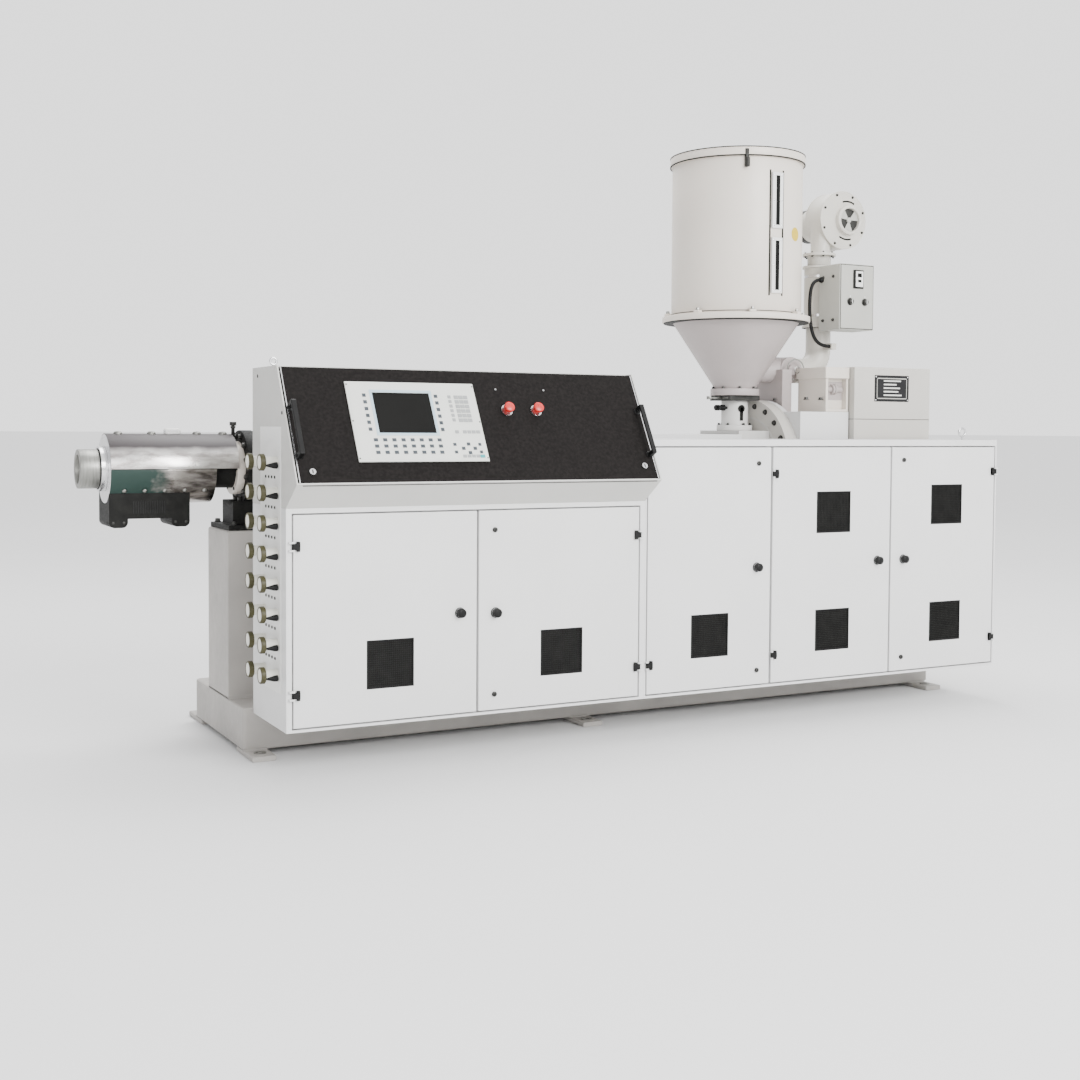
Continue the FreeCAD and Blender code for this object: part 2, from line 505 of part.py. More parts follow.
def make_console():
    """The sloping operator's console: a hollow housing and its hinged lid."""
    front, top = CAB_FRONT, CAB_A_TOP
    sine = f"({FACE_RUN} / ({FACE_LENGTH}))"
    cosine = f"({FACE_RISE} / ({FACE_LENGTH}))"
    back = "(-base_width / 2)"
    crown = f"({top} + console_height)"
    outline = [
        (front, top), (back, top), (back, crown), (f"{front} + console_brow", crown),
        (f"{front} - console_lip", f"{top} + console_lip_rise"),
    ]
    outer = padded("console_outer", "YZ_Plane", outline, "console_length")
    place(outer, "cab_left", "0", "0")
    plate = "console_plate"
    # the hollow behind the lid, open at the face; its ends are the side plates
    beyond = "(console_foot_edge + console_brow_edge)"
    hollow = [
        (f"{front} + {plate} + console_foot_edge", f"{top} + {plate}"),
        (f"{back} - {plate}", f"{top} + {plate}"),
        (f"{back} - {plate}", f"{crown} - {plate}"),
        (f"{front} + console_brow + console_brow_edge", f"{crown} - {plate}"),
        (f"{front} + console_brow + console_brow_edge", f"{crown} + {beyond}"),
        (f"{front} + console_brow - {beyond} * {cosine}", f"{crown} + {beyond} * {sine}"),
        (f"{front} - console_lip - {beyond} * {cosine} + {plate} * {sine}",
         f"{top} + console_lip_rise + {beyond} * {sine} + {plate} * {cosine}"),
        (f"{front} - console_lip + {plate} * {sine}",
         f"{top} + console_lip_rise + {plate} * {cosine}"),
    ]
    inner = padded("console_hollow", "YZ_Plane", hollow, f"console_length - 2 * {plate}")
    place(inner, f"cab_left + {plate}", "0", "0")
    shell = cut("console_shell", outer, inner)
    pins = []
    for end, across in (("left", "console_plate"),
                        ("right", "console_length - console_plate - lid_gap - lid_pin_grip")):
        pin = rod(f"lid_pin_{end}", "X", "0", "0", "0", "lid_pin_radius",
                  "lid_gap + lid_pin_grip")
        holder = doc.addObject("Part::Compound", f"lid_pin_{end}_set")
        holder.Links = [pin]
        on_face(holder, across, "lid_gap + lid_hinge_inset", "-lid_thickness / 2")
        pins.append(holder)
    node(fuse("console_case", shell, *pins), "console_housing")

    slab = face_box("lid_slab", "console_plate + lid_gap", "lid_gap", "0",
                    "console_length - 2 * console_plate - 2 * lid_gap", LID_LENGTH,
                    "lid_thickness")
    bores = []
    for end, across in (("left", "console_plate + lid_gap - 1"),
                        ("right", "console_length - console_plate - lid_gap - lid_pin_grip - 2")):
        bore = rod(f"lid_bore_{end}", "X", "0", "0", "0", "lid_pin_radius + lid_pin_fit",
                   "lid_pin_grip + 3")
        holder = doc.addObject("Part::Compound", f"lid_bore_{end}_set")
        holder.Links = [bore]
        on_face(holder, across, "lid_gap + lid_hinge_inset", "-lid_thickness / 2")
        bores.append(holder)
    opening = face_box("lid_opening", "panel_left + panel_box_edge",
                       "panel_drop + panel_box_edge", "1",
                       "panel_width - 2 * panel_box_edge", "panel_height - 2 * panel_box_edge",
                       "lid_thickness + 2")
    node(cut("lid", slab, opening, *bores), "console_lid")

    bezel = face_box("panel_bezel", "panel_left", "panel_drop", "panel_face",
                     "panel_width", "panel_height", "panel_face")
    case = face_box("panel_case", "panel_left + panel_box_edge", "panel_drop + panel_box_edge",
                    "0", "panel_width - 2 * panel_box_edge",
                    "panel_height - 2 * panel_box_edge", "panel_box_depth")
    pocket = face_box("panel_pocket", "panel_left + screen_left", "panel_drop + screen_drop",
                      "panel_face + 1", "screen_width", "screen_height", "screen_depth + 1")
    node(cut("panel", fuse("panel_blank", bezel, case), pocket), "operator_panel")
    node(face_box("screen", "panel_left + screen_left", "panel_drop + screen_drop",
                  "panel_face - 1", "screen_width", "screen_height", "screen_depth - 1"),
         "operator_screen")

    heads = []
    rings = []
    for k in range(2):
        across = f"stop_place + {k} * stop_pitch"
        heads.append(fuse(f"stop_{k + 1}",
                          face_rod(f"stop_stem_{k + 1}", across, "stop_drop", "stop_stem",
                                   "stop_stem_radius", "stop_stem - stop_ring"),
                          face_rod(f"stop_head_{k + 1}", across, "stop_drop",
                                   "stop_stem + stop_head", "stop_radius", "stop_head")))
        rings.append(face_rod(f"stop_ring_{k + 1}", across, "stop_drop", "stop_ring",
                              "stop_ring_radius", "stop_ring"))
    node(group("stops", *heads), "emergency_stop_buttons")
    node(group("stop_rings", *rings), "emergency_stop_rings")

    handles = []
    for end, across in (("left", "handle_left"), ("right", "handle_right")):
        bow = face_box(f"handle_{end}_bow", across, "handle_drop", "handle_stand",
                       "handle_width", "handle_length", "handle_stand")
        gap = face_box(f"handle_{end}_gap", f"{across} - 1", "handle_drop + 2 * handle_bar",
                       "handle_stand - handle_bar", "handle_width + 2",
                       "handle_length - 4 * handle_bar", "handle_stand")
        handles.append(cut(f"handle_{end}", bow, gap))
    node(group("handles", *handles), "console_handles")
    node(group("lid_locks",
               face_rod("lid_lock_left_part", "lid_lock_left", "lid_lock_drop",
                        "lid_lock_length", "lid_lock_radius", "lid_lock_length"),
               face_rod("lid_lock_right_part", "lid_lock_right", "lid_lock_drop - lid_lock_step",
                        "lid_lock_length", "lid_lock_radius", "lid_lock_length")),
         "console_lid_locks")


def make_connectors():
    """Two columns of round heater plugs on a plate on the left end."""
    node(box("plug_plate", "cab_left - plate_thickness", f"{CAB_FRONT} + plate_front",
             "plate_low", "plate_thickness", "plate_width", "plate_height"),
         "connector_plate")
    plugs = []
    for row in range(SIZES["plug_rows"]):
        for column in range(2):
            mark = f"{row + 1}_{'front' if column == 0 else 'back'}"
            across = f"{CAB_FRONT} + plug_front + {column} * plug_column"
            up = f"plug_low + {row} * plug_pitch"
            root = "cab_left - plate_thickness"
            plug = rod(f"plug_body_{mark}", "X", f"{root} - plug_length", across, up,
                       "plug_radius", "plug_length")
            rim = rod(f"plug_rim_{mark}", "X", f"{root} - plug_length - plug_rim_lead", across, up,
                      "plug_rim_radius", "plug_rim")
            plugs.append(fuse(f"plug_{mark}", plug, rim))
    node(group("plugs", *plugs), "heater_connectors")


def make_barrel():
    """The screw barrel with its nozzle, heater shells, fan, flange and cover."""
    feed_left = "(hopper_place - feed_length / 2)"
    tube = rod("barrel_blank", "X", "barrel_start", "0", "axis_height", "barrel_radius",
               f"{feed_left} - barrel_start")
    bore = rod("barrel_bore", "X", "barrel_start - 1", "0", "axis_height", "bore_radius",
               f"{feed_left} - barrel_start + 2")
    node(cut("barrel_tube", tube, bore), "screw_barrel")
    body = rod("nozzle_body", "X", "barrel_start - nozzle_length", "0", "axis_height",
               "nozzle_radius", "nozzle_length")
    mouth = rod("nozzle_mouth", "X", "barrel_start - nozzle_length - 1", "0", "axis_height",
                "nozzle_bore", "nozzle_length + 2")
    node(cut("nozzle_part", body, mouth), "nozzle")
    for half, length, foot in (("upper", "shell_upper_length", "axis_height + shell_end_gap / 2"),
                               ("lower", "shell_lower_length",
                                "axis_height - shell_end_gap / 2 - shell_radius")):
        blank = rod(f"shell_{half}_blank", "X", "shell_left", "0", "axis_height",
                    "shell_radius", length)
        core = rod(f"shell_{half}_core", "X", "shell_left - 1", "0", "axis_height",
                   "shell_radius - shell_sheet", f"{length} + 2")
        ring = cut(f"shell_{half}_ring", blank, core)
        keep = box(f"shell_{half}_keep", "shell_left - 1", "-shell_radius - 1", foot,
                   f"{length} + 2", "2 * shell_radius + 2", "shell_radius")
        part = doc.addObject("Part::Common", f"shell_{half}_half")
        part.Base = ring
        part.Tool = keep
        arch = part
        # end plates close the half round the barrel
        ends = []
        for end, start in (("left", "shell_left"),
                           ("right", f"shell_left + {length} - shell_end")):
            disc = rod(f"shell_{half}_{end}_disc", "X", start, "0", "axis_height",
                       "shell_radius - shell_end_step", "shell_end")
            eye = rod(f"shell_{half}_{end}_eye", "X", f"{start} - 1", "0", "axis_height",
                      "barrel_radius + shell_clear", "shell_end + 2")
            washer = cut(f"shell_{half}_{end}_washer", disc, eye)
            half_washer = doc.addObject("Part::Common", f"shell_{half}_{end}_plate")
            half_washer.Base = washer
            half_washer.Tool = keep
            ends.append(half_washer)
        node(fuse(f"shell_{half}_cover", arch, *ends), f"heater_shell_{half}")
    node(cut("end_ring",
             rod("end_ring_blank", "X", "ring_left", "0", "axis_height", "ring_radius",
                 "ring_length"),
             rod("end_ring_bore", "X", "ring_left - 1", "0", "axis_height", "barrel_radius",
                 "ring_length + 2")), "barrel_end_ring")
    node(cut("flange",
             rod("flange_blank", "X", "flange_left", "0", "axis_height", "flange_radius",
                 "flange_length"),
             rod("flange_bore", "X", "flange_left - 1", "0", "axis_height", "barrel_radius",
                 "flange_length + 2")), "barrel_flange")
    # cooling fan hung under the lower shell
    fan_top = "(axis_height - sqrt(shell_radius^2 - (fan_width / 2)^2))"
    bar = box("fan_bar", "fan_left", "-fan_width / 2", "fan_bottom + fan_bar_rise",
              "fan_length", "fan_width", f"{fan_top} - fan_bottom - fan_bar_rise")
    lumps = []
    for mark, start in (("left", "fan_left"), ("right", "fan_left + fan_length - fan_lump")):
        lumps.append(box(f"fan_lump_{mark}", start, "-fan_width / 2", "fan_bottom + fan_round",
                         "fan_lump", "fan_width", "fan_bar_rise - fan_round + 1"))
        lumps.append(box(f"fan_sole_{mark}", f"{start} + fan_round", "-fan_width / 2",
                         "fan_bottom", "fan_lump - 2 * fan_round", "fan_width", "fan_bar_rise"))
        for side, across in (("near", "fan_round"), ("far", "fan_lump - fan_round")):
            lumps.append(rod(f"fan_round_{mark}_{side}", "Y", f"{start} + {across}",
                             "-fan_width / 2", "fan_bottom + fan_round", "fan_round",
                             "fan_width"))
    scoop = rod("fan_scoop", "X", "fan_left - 1", "0", "axis_height", "shell_radius",
                "fan_length + 2")
    node(cut("fan", fuse("fan_blank", bar, *lumps), scoop), "heater_fan")
    stem = rod("sensor_stem", "Z", "sensor_place", "0", "axis_height + ring_radius - sensor_sink",
               "sensor_radius", "sensor_height")
    head = rod("sensor_head", "Z", "sensor_place", "0",
               "axis_height + ring_radius + sensor_height - sensor_sink",
               "sensor_head_radius", "sensor_head")
    hub = rod("sensor_hub", "X", "ring_left - 1", "0", "axis_height", "ring_radius",
              "ring_length + 2")
    node(cut("sensor", fuse("sensor_blank", stem, head), hub), "melt_pressure_sensor")
    length = f"({feed_left} - cover_gap - cover_left)"
    outer = box("cover_outer", "cover_left", "-cover_width / 2", "cover_bottom",
                length, "cover_width", "cover_top - cover_bottom")
    inner = box("cover_inner", "cover_left - 1", "-cover_width / 2 + cover_sheet",
                "cover_bottom - 1", f"{length} + 2", "cover_width - 2 * cover_sheet",
                "cover_top - cover_bottom - cover_sheet + 1")
    node(cut("cover", outer, inner), "barrel_cover")


def make_feed():
    """The feed block, throat and slide gate below the hopper."""
    left = "(hopper_place - feed_length / 2)"
    block = box("feed_block", left, "-feed_half_width", "feed_bottom", "feed_length",
                "2 * feed_half_width", "feed_top - feed_bottom")
    through = rod("feed_bore", "X", f"{left} - 1", "0", "axis_height", "bore_radius",
                  "feed_length + 2")
    chute = rod("feed_chute", "Z", "hopper_place", "0", "axis_height", "throat_bore",
                "feed_top - axis_height + 1")
    node(cut("feed", block, through, chute), "feed_section")
    throat = turned("throat", [
        ("throat_bore", "0"), ("throat_flange_radius", "0"),
        ("throat_flange_radius", "throat_flange"), ("throat_radius", "throat_flange"),
        ("throat_radius", "throat_top - feed_top"), ("throat_bore", "throat_top - feed_top"),
    ])
    node(place(throat, "hopper_place", "0", "feed_top"), "hopper_throat")
    # gate housing: two plates with side rails between them, and the blade in the slot
    slot = "(gate_thickness + 2 * gate_gap)"
    low = box("gate_low", "hopper_place - gate_plate_radius", "-gate_plate_radius", "throat_top",
              "2 * gate_plate_radius", "2 * gate_plate_radius", "gate_plate")
    rails = []
    for mark, start in (("front", "-gate_plate_radius"), ("back", "gate_width / 2 + gate_gap")):
        rails.append(box(f"gate_rail_{mark}", "hopper_place - gate_plate_radius", start,
                         "throat_top + gate_plate", "2 * gate_plate_radius",
                         "gate_plate_radius - gate_width / 2 - gate_gap", slot))
    high = box("gate_high", "hopper_place - gate_plate_radius", "-gate_plate_radius",
               f"throat_top + gate_plate + {slot}", "2 * gate_plate_radius",
               "2 * gate_plate_radius", "gate_plate")
    drop = rod("gate_drop", "Z", "hopper_place", "0", "throat_top - 1", "gate_hole_radius",
               f"2 * gate_plate + {slot} + 2")
    node(cut("gate_frame", fuse("gate_frame_blank", low, high, *rails), drop), "gate_housing")
    blade_foot = "throat_top + gate_plate + gate_gap"
    blade = box("gate_blade", "hopper_place - gate_plate_radius + gate_blade_inset",
                "-gate_width / 2",
                blade_foot, "gate_plate_radius + gate_hole_radius + gate_overlap", "gate_width",
                "gate_thickness")
    tongue = box("gate_tongue", "hopper_place - gate_plate_radius - gate_handle",
                 "-gate_handle_width / 2", blade_foot, "gate_handle + gate_blade_inset + 1",
                 "gate_handle_width", "gate_thickness")
    grip = rod("gate_grip", "Z", "hopper_place - gate_plate_radius - gate_handle", "0",
               f"{blade_foot} - gate_grip_stand", "gate_handle_width / 2",
               "gate_thickness + 2 * gate_grip_stand")
    node(fuse("gate", blade, tongue, grip), "slide_gate")


# the hopper's other radii follow its drum
CONE_RADIUS = "(drum_radius - cone_step)"
CLAMP_RADIUS = "(drum_radius + clamp_reach)"
LID_RADIUS = "(drum_radius + lid_overhang)"
NECK_FOOT = "(throat_top + 2 * gate_plate + gate_thickness + 2 * gate_gap)"


def make_hopper():
    """Cone, drum, lid, clamp flange, latch and sight glasses."""
    cone_up = f"(cone_top - {NECK_FOOT})"
    inner = "hopper_sheet"
    funnel = turned("funnel", [
        ("gate_hole_radius", "0"), ("neck_flange_radius", "0"),
        ("neck_flange_radius", "neck_flange"), ("neck_radius", "neck_flange"),
        (CONE_RADIUS, cone_up), (f"{CONE_RADIUS} - {inner}", cone_up),
        (f"neck_radius - {inner}", "neck_flange"), ("gate_hole_radius", "neck_floor"),
    ])
    pipe_hole = rod("funnel_pipe_hole", "X", "hopper_place", "0", "inlet_height",
                    "inlet_radius - inlet_sheet", CONE_RADIUS)
    node(cut("funnel_part", place(funnel, "hopper_place", "0", NECK_FOOT), pipe_hole),
         "hopper_cone")
    clamp = turned("clamp", [
        (f"{CONE_RADIUS} - {inner}", "0"), (CLAMP_RADIUS, "0"), (CLAMP_RADIUS, "clamp_height"),
        (f"{CONE_RADIUS} - {inner}", "clamp_height"),
    ])
    node(place(clamp, "hopper_place", "0", "cone_top"), "hopper_clamp_flange")
    drum_up = "(drum_top - cone_top - clamp_height)"
    drum = turned("drum", [
        (f"drum_radius - {inner}", "0"), ("drum_radius", "0"), ("drum_radius", drum_up),
        (f"drum_radius - {inner}", drum_up),
    ])
    node(place(drum, "hopper_place", "0", "cone_top + clamp_height"), "hopper_drum")
    cap = turned("cap_cover", [
        ("0", "0"), (LID_RADIUS, "0"), (LID_RADIUS, "lid_rise"),
        (f"{LID_RADIUS} - lid_dome_edge", "lid_rise"), ("lid_dome_edge", "lid_rise + lid_dome"),
        ("0", "lid_rise + lid_dome"),
    ])
    node(place(cap, "hopper_place", "0", "drum_top"), "hopper_lid")
    frames = [box(f"sight_{k + 1}_frame", "hopper_place - sight_width / 2",
                  "-drum_radius - sight_depth", f"sight_low + {k} * sight_pitch", "sight_width",
                  "2 * sight_depth", "sight_height") for k in range(2)]
    skin = rod("sight_skin", "Z", "hopper_place", "0", "cone_top", "drum_radius",
               "drum_top - cone_top")
    node(cut("sight_part", group("sights", *frames), skin), "hopper_sight_glasses")


# The heater lead's route, as (X, Z) in its own upright plane.
CABLE_ROUTE = [(1172, 1862), (1126, 1862), (1102, 1796), (1104, 1660), (1146, 1560), (1221, 1560)]
ARC_SHARE = 0.45


def cord_tube(points, radius):
    """A round tube along straight runs joined by tangent arcs as large as the runs allow."""
    edges = []
    start = points[0]
    for before, corner, after in zip(points, points[1:], points[2:]):
        back = before - corner
        ahead = after - corner
        half_turn = (math.pi - back.getAngle(ahead)) / 2
        reach = ARC_SHARE * min(back.Length, ahead.Length)
        bend_radius = reach / math.tan(half_turn)
        back.normalize()
        ahead.normalize()
        inward = (back + ahead).normalize()
        middle = corner + inward * (math.hypot(reach, bend_radius) - bend_radius)
        first = corner + back * reach
        last = corner + ahead * reach
        edges.append(Part.makeLine(start, first))
        edges.append(Part.Arc(first, middle, last).toShape())
        start = last
    edges.append(Part.makeLine(start, points[-1]))
    path = Part.Wire(edges)
    ring = Part.Wire(Part.makeCircle(radius, points[0], points[1] - points[0]))
    tube = path.makePipeShell([ring], True, True)
    if abs(tube.Volume / (math.pi * radius ** 2 * path.Length) - 1) > 0.01:
        raise RuntimeError("the lead's tube has the wrong volume")
    return tube


def make_dryer():
    """Hot-air inlet, elbow, heater duct, blower and control box."""
    snail = rod("inlet_drum", "Y", "inlet_place", "-inlet_half", "inlet_height",
                "inlet_radius", "2 * inlet_half")
    tongue = rod("inlet_pipe", "X", "hopper_place + neck_radius + 2", "0", "inlet_height",
                 "inlet_radius", "inlet_place - hopper_place - neck_radius - 2")
    funnel_space = cone("inlet_clear", "Z", "hopper_place", "0", f"{NECK_FOOT} + neck_flange",
                        "neck_radius + 0.1", f"{CONE_RADIUS} + 0.1",
                        f"cone_top - {NECK_FOOT} - neck_flange")
    cap = rod("inlet_cap_disc", "Y", "inlet_place", "-inlet_half - inlet_cap", "inlet_height",
              "inlet_cap_radius", "inlet_cap")
    stand_foot = "gear_top"
    stand = box("inlet_stand_blank", "stand_left", "-stand_width / 2", stand_foot,
                "stand_length", "stand_width", f"inlet_height - ({stand_foot})")
    body = cut("inlet_body", fuse("inlet_blank", snail, tongue, stand), funnel_space)
    node(fuse("inlet", body, cap), "hot_air_inlet")
    # elbow: straight down from the heater duct, then a bend into the inlet housing
    drop = rod("elbow_drop", "Z", "duct_place", "0", "inlet_height + elbow_bend",
               "elbow_radius", "duct_bottom - inlet_height - elbow_bend")
    bend = doc.addObject("Part::Torus", "elbow_bend_part")
    bind(bend, "Radius1", "elbow_bend")
    bind(bend, "Radius2", "elbow_radius")
    bend.Angle3 = 90
    bend.Placement = FreeCAD.Placement(FreeCAD.Vector(), AXIS_TURNS["Y"])
    place(bend, "duct_place - elbow_bend", "0", "inlet_height + elbow_bend")
    run = rod("elbow_run", "X", "inlet_place", "0", "inlet_height", "elbow_radius",
              "duct_place - elbow_bend - inlet_place")
    gland = box("cable_gland", "duct_place - gland_half", "-cable_front - gland_half",
                "gland_low - gland_half", "2 * gland_half", "cable_front + gland_half",
                "2 * gland_half")
    snail_space = rod("elbow_clear", "Y", "inlet_place", "-2 * inlet_half", "inlet_height",
                      "inlet_radius", "4 * inlet_half")
    node(cut("elbow", fuse("elbow_blank", drop, bend, run, gland), snail_space), "hot_air_elbow")
    duct_up = "(duct_top - duct_bottom)"
    duct = turned("heater_tube", [
        ("0", "0"), ("duct_flange_radius", "0"), ("duct_flange_radius", "duct_flange"),
        ("duct_radius", "duct_flange"), ("duct_radius", f"{duct_up} - duct_flange"),
        ("duct_flange_radius", f"{duct_up} - duct_flange"), ("duct_flange_radius", duct_up),
        ("0", duct_up),
    ])
    node(place(duct, "duct_place", "0", "duct_bottom"), "air_heater_duct")
    casing = rod("scroll_casing", "Y", "scroll_place", "-scroll_half", "scroll_height",
                 "scroll_radius", "2 * scroll_half")
    outlet_low = "(outlet_flange_low + outlet_flange)"
    lower_neck = rod("scroll_lower_neck", "Z", "duct_place", "0", "duct_top",
                     "neck_pipe_radius", "outlet_flange_low - duct_top")
    joint = rod("scroll_joint", "Z", "duct_place", "0", "outlet_flange_low",
                "duct_flange_radius", "outlet_flange")
    outlet = rod("scroll_outlet", "Z", "scroll_place - scroll_radius + outlet_radius", "0",
                 outlet_low, "outlet_radius", f"scroll_height - {outlet_low}")
    centre = "scroll_place + scroll_intake_shift"
    intake = rod("scroll_ring", "Y", centre, "-scroll_half - scroll_intake",
                 "scroll_height", "scroll_intake_radius", "scroll_intake")
    mouth = rod("scroll_hollow", "Y", centre, "-scroll_half - scroll_intake - 1",
                "scroll_height", "scroll_mouth", "scroll_intake + scroll_half")
    whole = fuse("scroll_blank", casing, lower_neck, joint, outlet, intake)
    node(cut("scroll", whole, mouth), "dryer_blower")
    node(rod("scroll_motor", "Y", "scroll_place", "scroll_half", "scroll_height",
             "fan_motor_radius", "fan_motor_length"), "blower_motor")
    case = box("dryer_case", "box_left", "-box_front", "box_bottom", "box_width", "box_depth",
               "box_height")
    arm = box("dryer_case_arm", "duct_place - box_arm_width / 2", "-box_front + box_depth",
              "box_bottom + (box_height - box_arm_height) / 2", "box_arm_width",
              "box_front - box_depth", "box_arm_height")
    skin = rod("dryer_arm_clear", "Z", "duct_place", "0", "duct_bottom", "duct_radius",
               "duct_top - duct_bottom")
    node(cut("dryer_case_part", fuse("dryer_case_blank", case, arm), skin),
         "dryer_control_box")
    # the heater's lead leaves the box's left side and comes back in at the elbow's gland
    depth = -SIZES["cable_front"]
    points = [FreeCAD.Vector(x, depth, z) for x, z in CABLE_ROUTE]
    cable = doc.addObject("Part::Feature", "dryer_cable_tube")
    cable.Shape = cord_tube(points, SIZES["cable_radius"])
    node(cable, "dryer_cable")


def make_drive():
    """Gearbox with its round input flange, stands and the motor's housing."""
    flange = rod("gear_flange_disc", "X", "gear_flange_left", "0", "axis_height",
                 GEAR_HALF, "gear_flange_length")
    node(flange, "gearbox_flange")
    case = box("gear_case", "gear_left", f"-{GEAR_HALF}", "gear_bottom", "gear_length",
               f"2 * {GEAR_HALF}", "gear_top - gear_bottom")
    shoulder = rod("gear_shoulder_part", "X", "gear_left", "0", "axis_height",
                   f"{GEAR_HALF} - gear_shoulder_step", "gear_shoulder")
    node(fuse("gear_body", case, shoulder), "gearbox")
    width = f"(gear_left + gear_length - guard_left)"
    depth = f"({GUARD_FRONT} - guard_back)"
    guard = box("guard_case", "guard_left", f"-{GUARD_FRONT}", "gear_top", width, depth,
                "guard_top - gear_top")
    window = box("guard_window", "guard_left + guard_window_edge", f"-{GUARD_FRONT} - 1",
                 "gear_top + guard_window_edge", f"{width} - 2 * guard_window_edge",
                 "guard_window_depth + 1", "guard_top - gear_top - guard_window_edge")
    lid = box("guard_lid_part", "guard_left - guard_lid_reach", f"-{GUARD_FRONT} - guard_lid_reach",
              "guard_top", f"{width} + guard_lid_reach", f"{depth} + 2 * guard_lid_reach",
              "guard_lid")
    node(fuse("guard", cut("guard_shell", guard, window), lid), "coupling_guard")
    inset = "gear_stand_inset"
    gear_stand = box("gear_stand", f"gear_left + {inset}", f"-{GEAR_HALF} + {inset}",
                     BASE_TOP, f"gear_length - 2 * {inset}", f"2 * {GEAR_HALF} - 2 * {inset}",
                     f"gear_bottom - {BASE_TOP}")
    feed_stand = box("feed_stand", f"hopper_place - feed_length / 2 + {inset}",
                     f"-feed_half_width + {inset}", BASE_TOP, f"feed_length - 2 * {inset}",
                     f"2 * feed_half_width - 2 * {inset}", f"feed_bottom - {BASE_TOP}")
    node(group("stands", gear_stand, feed_stand), "drive_stands")
    left = "(gear_left + gear_length + motor_gap)"
    lower = box("motor_lower", left, f"-{MOTOR_HALF}", BASE_TOP, "motor_length",
                f"2 * {MOTOR_HALF}", f"motor_split - {BASE_TOP}")
    hood = box("motor_hood", left, f"-{MOTOR_HALF}", "motor_split", "motor_length",
               f"{MOTOR_HALF} - motor_hood_back", "motor_top - motor_split")
    node(fuse("motor_case", lower, hood), "motor_housing")
    node(box("motor_plate", f"{left} + plate_b_left", f"-{MOTOR_HALF} - plate_b_thickness",
             "plate_b_low", "plate_b_width", "plate_b_thickness", "plate_b_height"),
         "rating_plate")


def make_eyes():
    """Lifting eyes on the console and on the drive cabinet."""
    eyes = []
    for mark, x, y, z in (
            ("a", "cab_left + eye_a_inset", f"{CAB_FRONT} + eye_a_depth",
             f"{CAB_A_TOP} + console_height"),
            ("b", f"{CAB_RIGHT} - eye_b_inset", f"{CAB_FRONT} + eye_b_depth", CAB_B_TOP)):
        ring_radius = f"eye_{mark}_radius"
        stand = f"eye_{mark}_shank"
        shank = rod(f"eye_{mark}_post", "Z", x, y, z, f"eye_{mark}_wire", stand)
        ring = doc.addObject("Part::Torus", f"eye_{mark}_ring")
        bind(ring, "Radius1", ring_radius)
        bind(ring, "Radius2", f"eye_{mark}_wire")
        ring.Placement = FreeCAD.Placement(FreeCAD.Vector(), AXIS_TURNS["Y"])
        place(ring, x, y, f"{z} + {stand} + {ring_radius}")
        eyes.append(fuse(f"eye_{mark}", shank, ring))
    node(group("eyes", *eyes), "lifting_eyes")


make_base()
make_pedestal()
make_cabinets()
make_doors()
make_console()
make_connectors()
make_barrel()
make_feed()
make_hopper()
make_dryer()
make_drive()
make_eyes()
doc.recompute()

failed = [f"{obj.Name}: {', '.join(obj.State)}" for obj in doc.Objects
          if "Invalid" in obj.State or "Error" in obj.State]
for part in NODES:
    if part.Shape.isNull() or not part.Shape.isValid() or not part.Shape.Solids:
        failed.append(f"{part.Label}: no valid shape")
if failed:
    raise RuntimeError("\n".join(failed))

os.makedirs("parts", exist_ok=True)
for part in NODES:
    part.Shape.exportStep(f"parts/{part.Label}.step")
print(f"{len(NODES)} sub-parts written")
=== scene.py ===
"""Plastic extruder: finishes, small fittings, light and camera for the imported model.

Metres, in the model's own frame: +X runs along the screw towards the drive, -Y is the
operator's side, and Z = 0 is the floor.
"""
import bmesh
import bpy
import math
from mathutils import Matrix, Vector


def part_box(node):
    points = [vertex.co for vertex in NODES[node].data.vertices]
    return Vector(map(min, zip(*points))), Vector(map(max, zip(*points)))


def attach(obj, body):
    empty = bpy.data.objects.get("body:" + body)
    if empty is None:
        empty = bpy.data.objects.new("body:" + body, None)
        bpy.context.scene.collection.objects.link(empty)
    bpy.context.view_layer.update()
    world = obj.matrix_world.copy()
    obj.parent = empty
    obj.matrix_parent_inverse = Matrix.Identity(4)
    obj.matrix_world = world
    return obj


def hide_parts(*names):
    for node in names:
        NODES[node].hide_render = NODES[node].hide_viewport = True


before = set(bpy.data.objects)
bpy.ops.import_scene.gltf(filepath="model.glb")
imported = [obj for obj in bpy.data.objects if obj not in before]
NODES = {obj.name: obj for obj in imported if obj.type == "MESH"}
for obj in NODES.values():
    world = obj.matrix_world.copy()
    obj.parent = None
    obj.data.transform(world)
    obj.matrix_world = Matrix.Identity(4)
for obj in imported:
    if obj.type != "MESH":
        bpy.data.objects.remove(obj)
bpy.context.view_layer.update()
MACHINE = "machine"
LID = "console_lid_assembly"
X, Y, Z = Vector((1, 0, 0)), Vector((0, 1, 0)), Vector((0, 0, 1))


def low(name):
    """A node's lowest corner at rest."""
    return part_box(name)[0]


def high(name):
    """A node's highest corner at rest."""
    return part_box(name)[1]


def middle(name):
    """The centre of a node's box at rest."""
    return (low(name) + high(name)) / 2


def linked(name, data):
    """A new object, put into the scene."""
    item = bpy.data.objects.new(name, data)
    bpy.context.scene.collection.objects.link(item)
    return item


# --- Finishes ---
def new_finish(name):
    """An empty material: its node tree, its surface shader and its places in metres."""
    finish = bpy.data.materials.new(name)
    finish.use_nodes = True
    tree = finish.node_tree
    places = tree.nodes.new("ShaderNodeTexCoord").outputs["Object"]
    return finish, tree, tree.nodes["Principled BSDF"], places


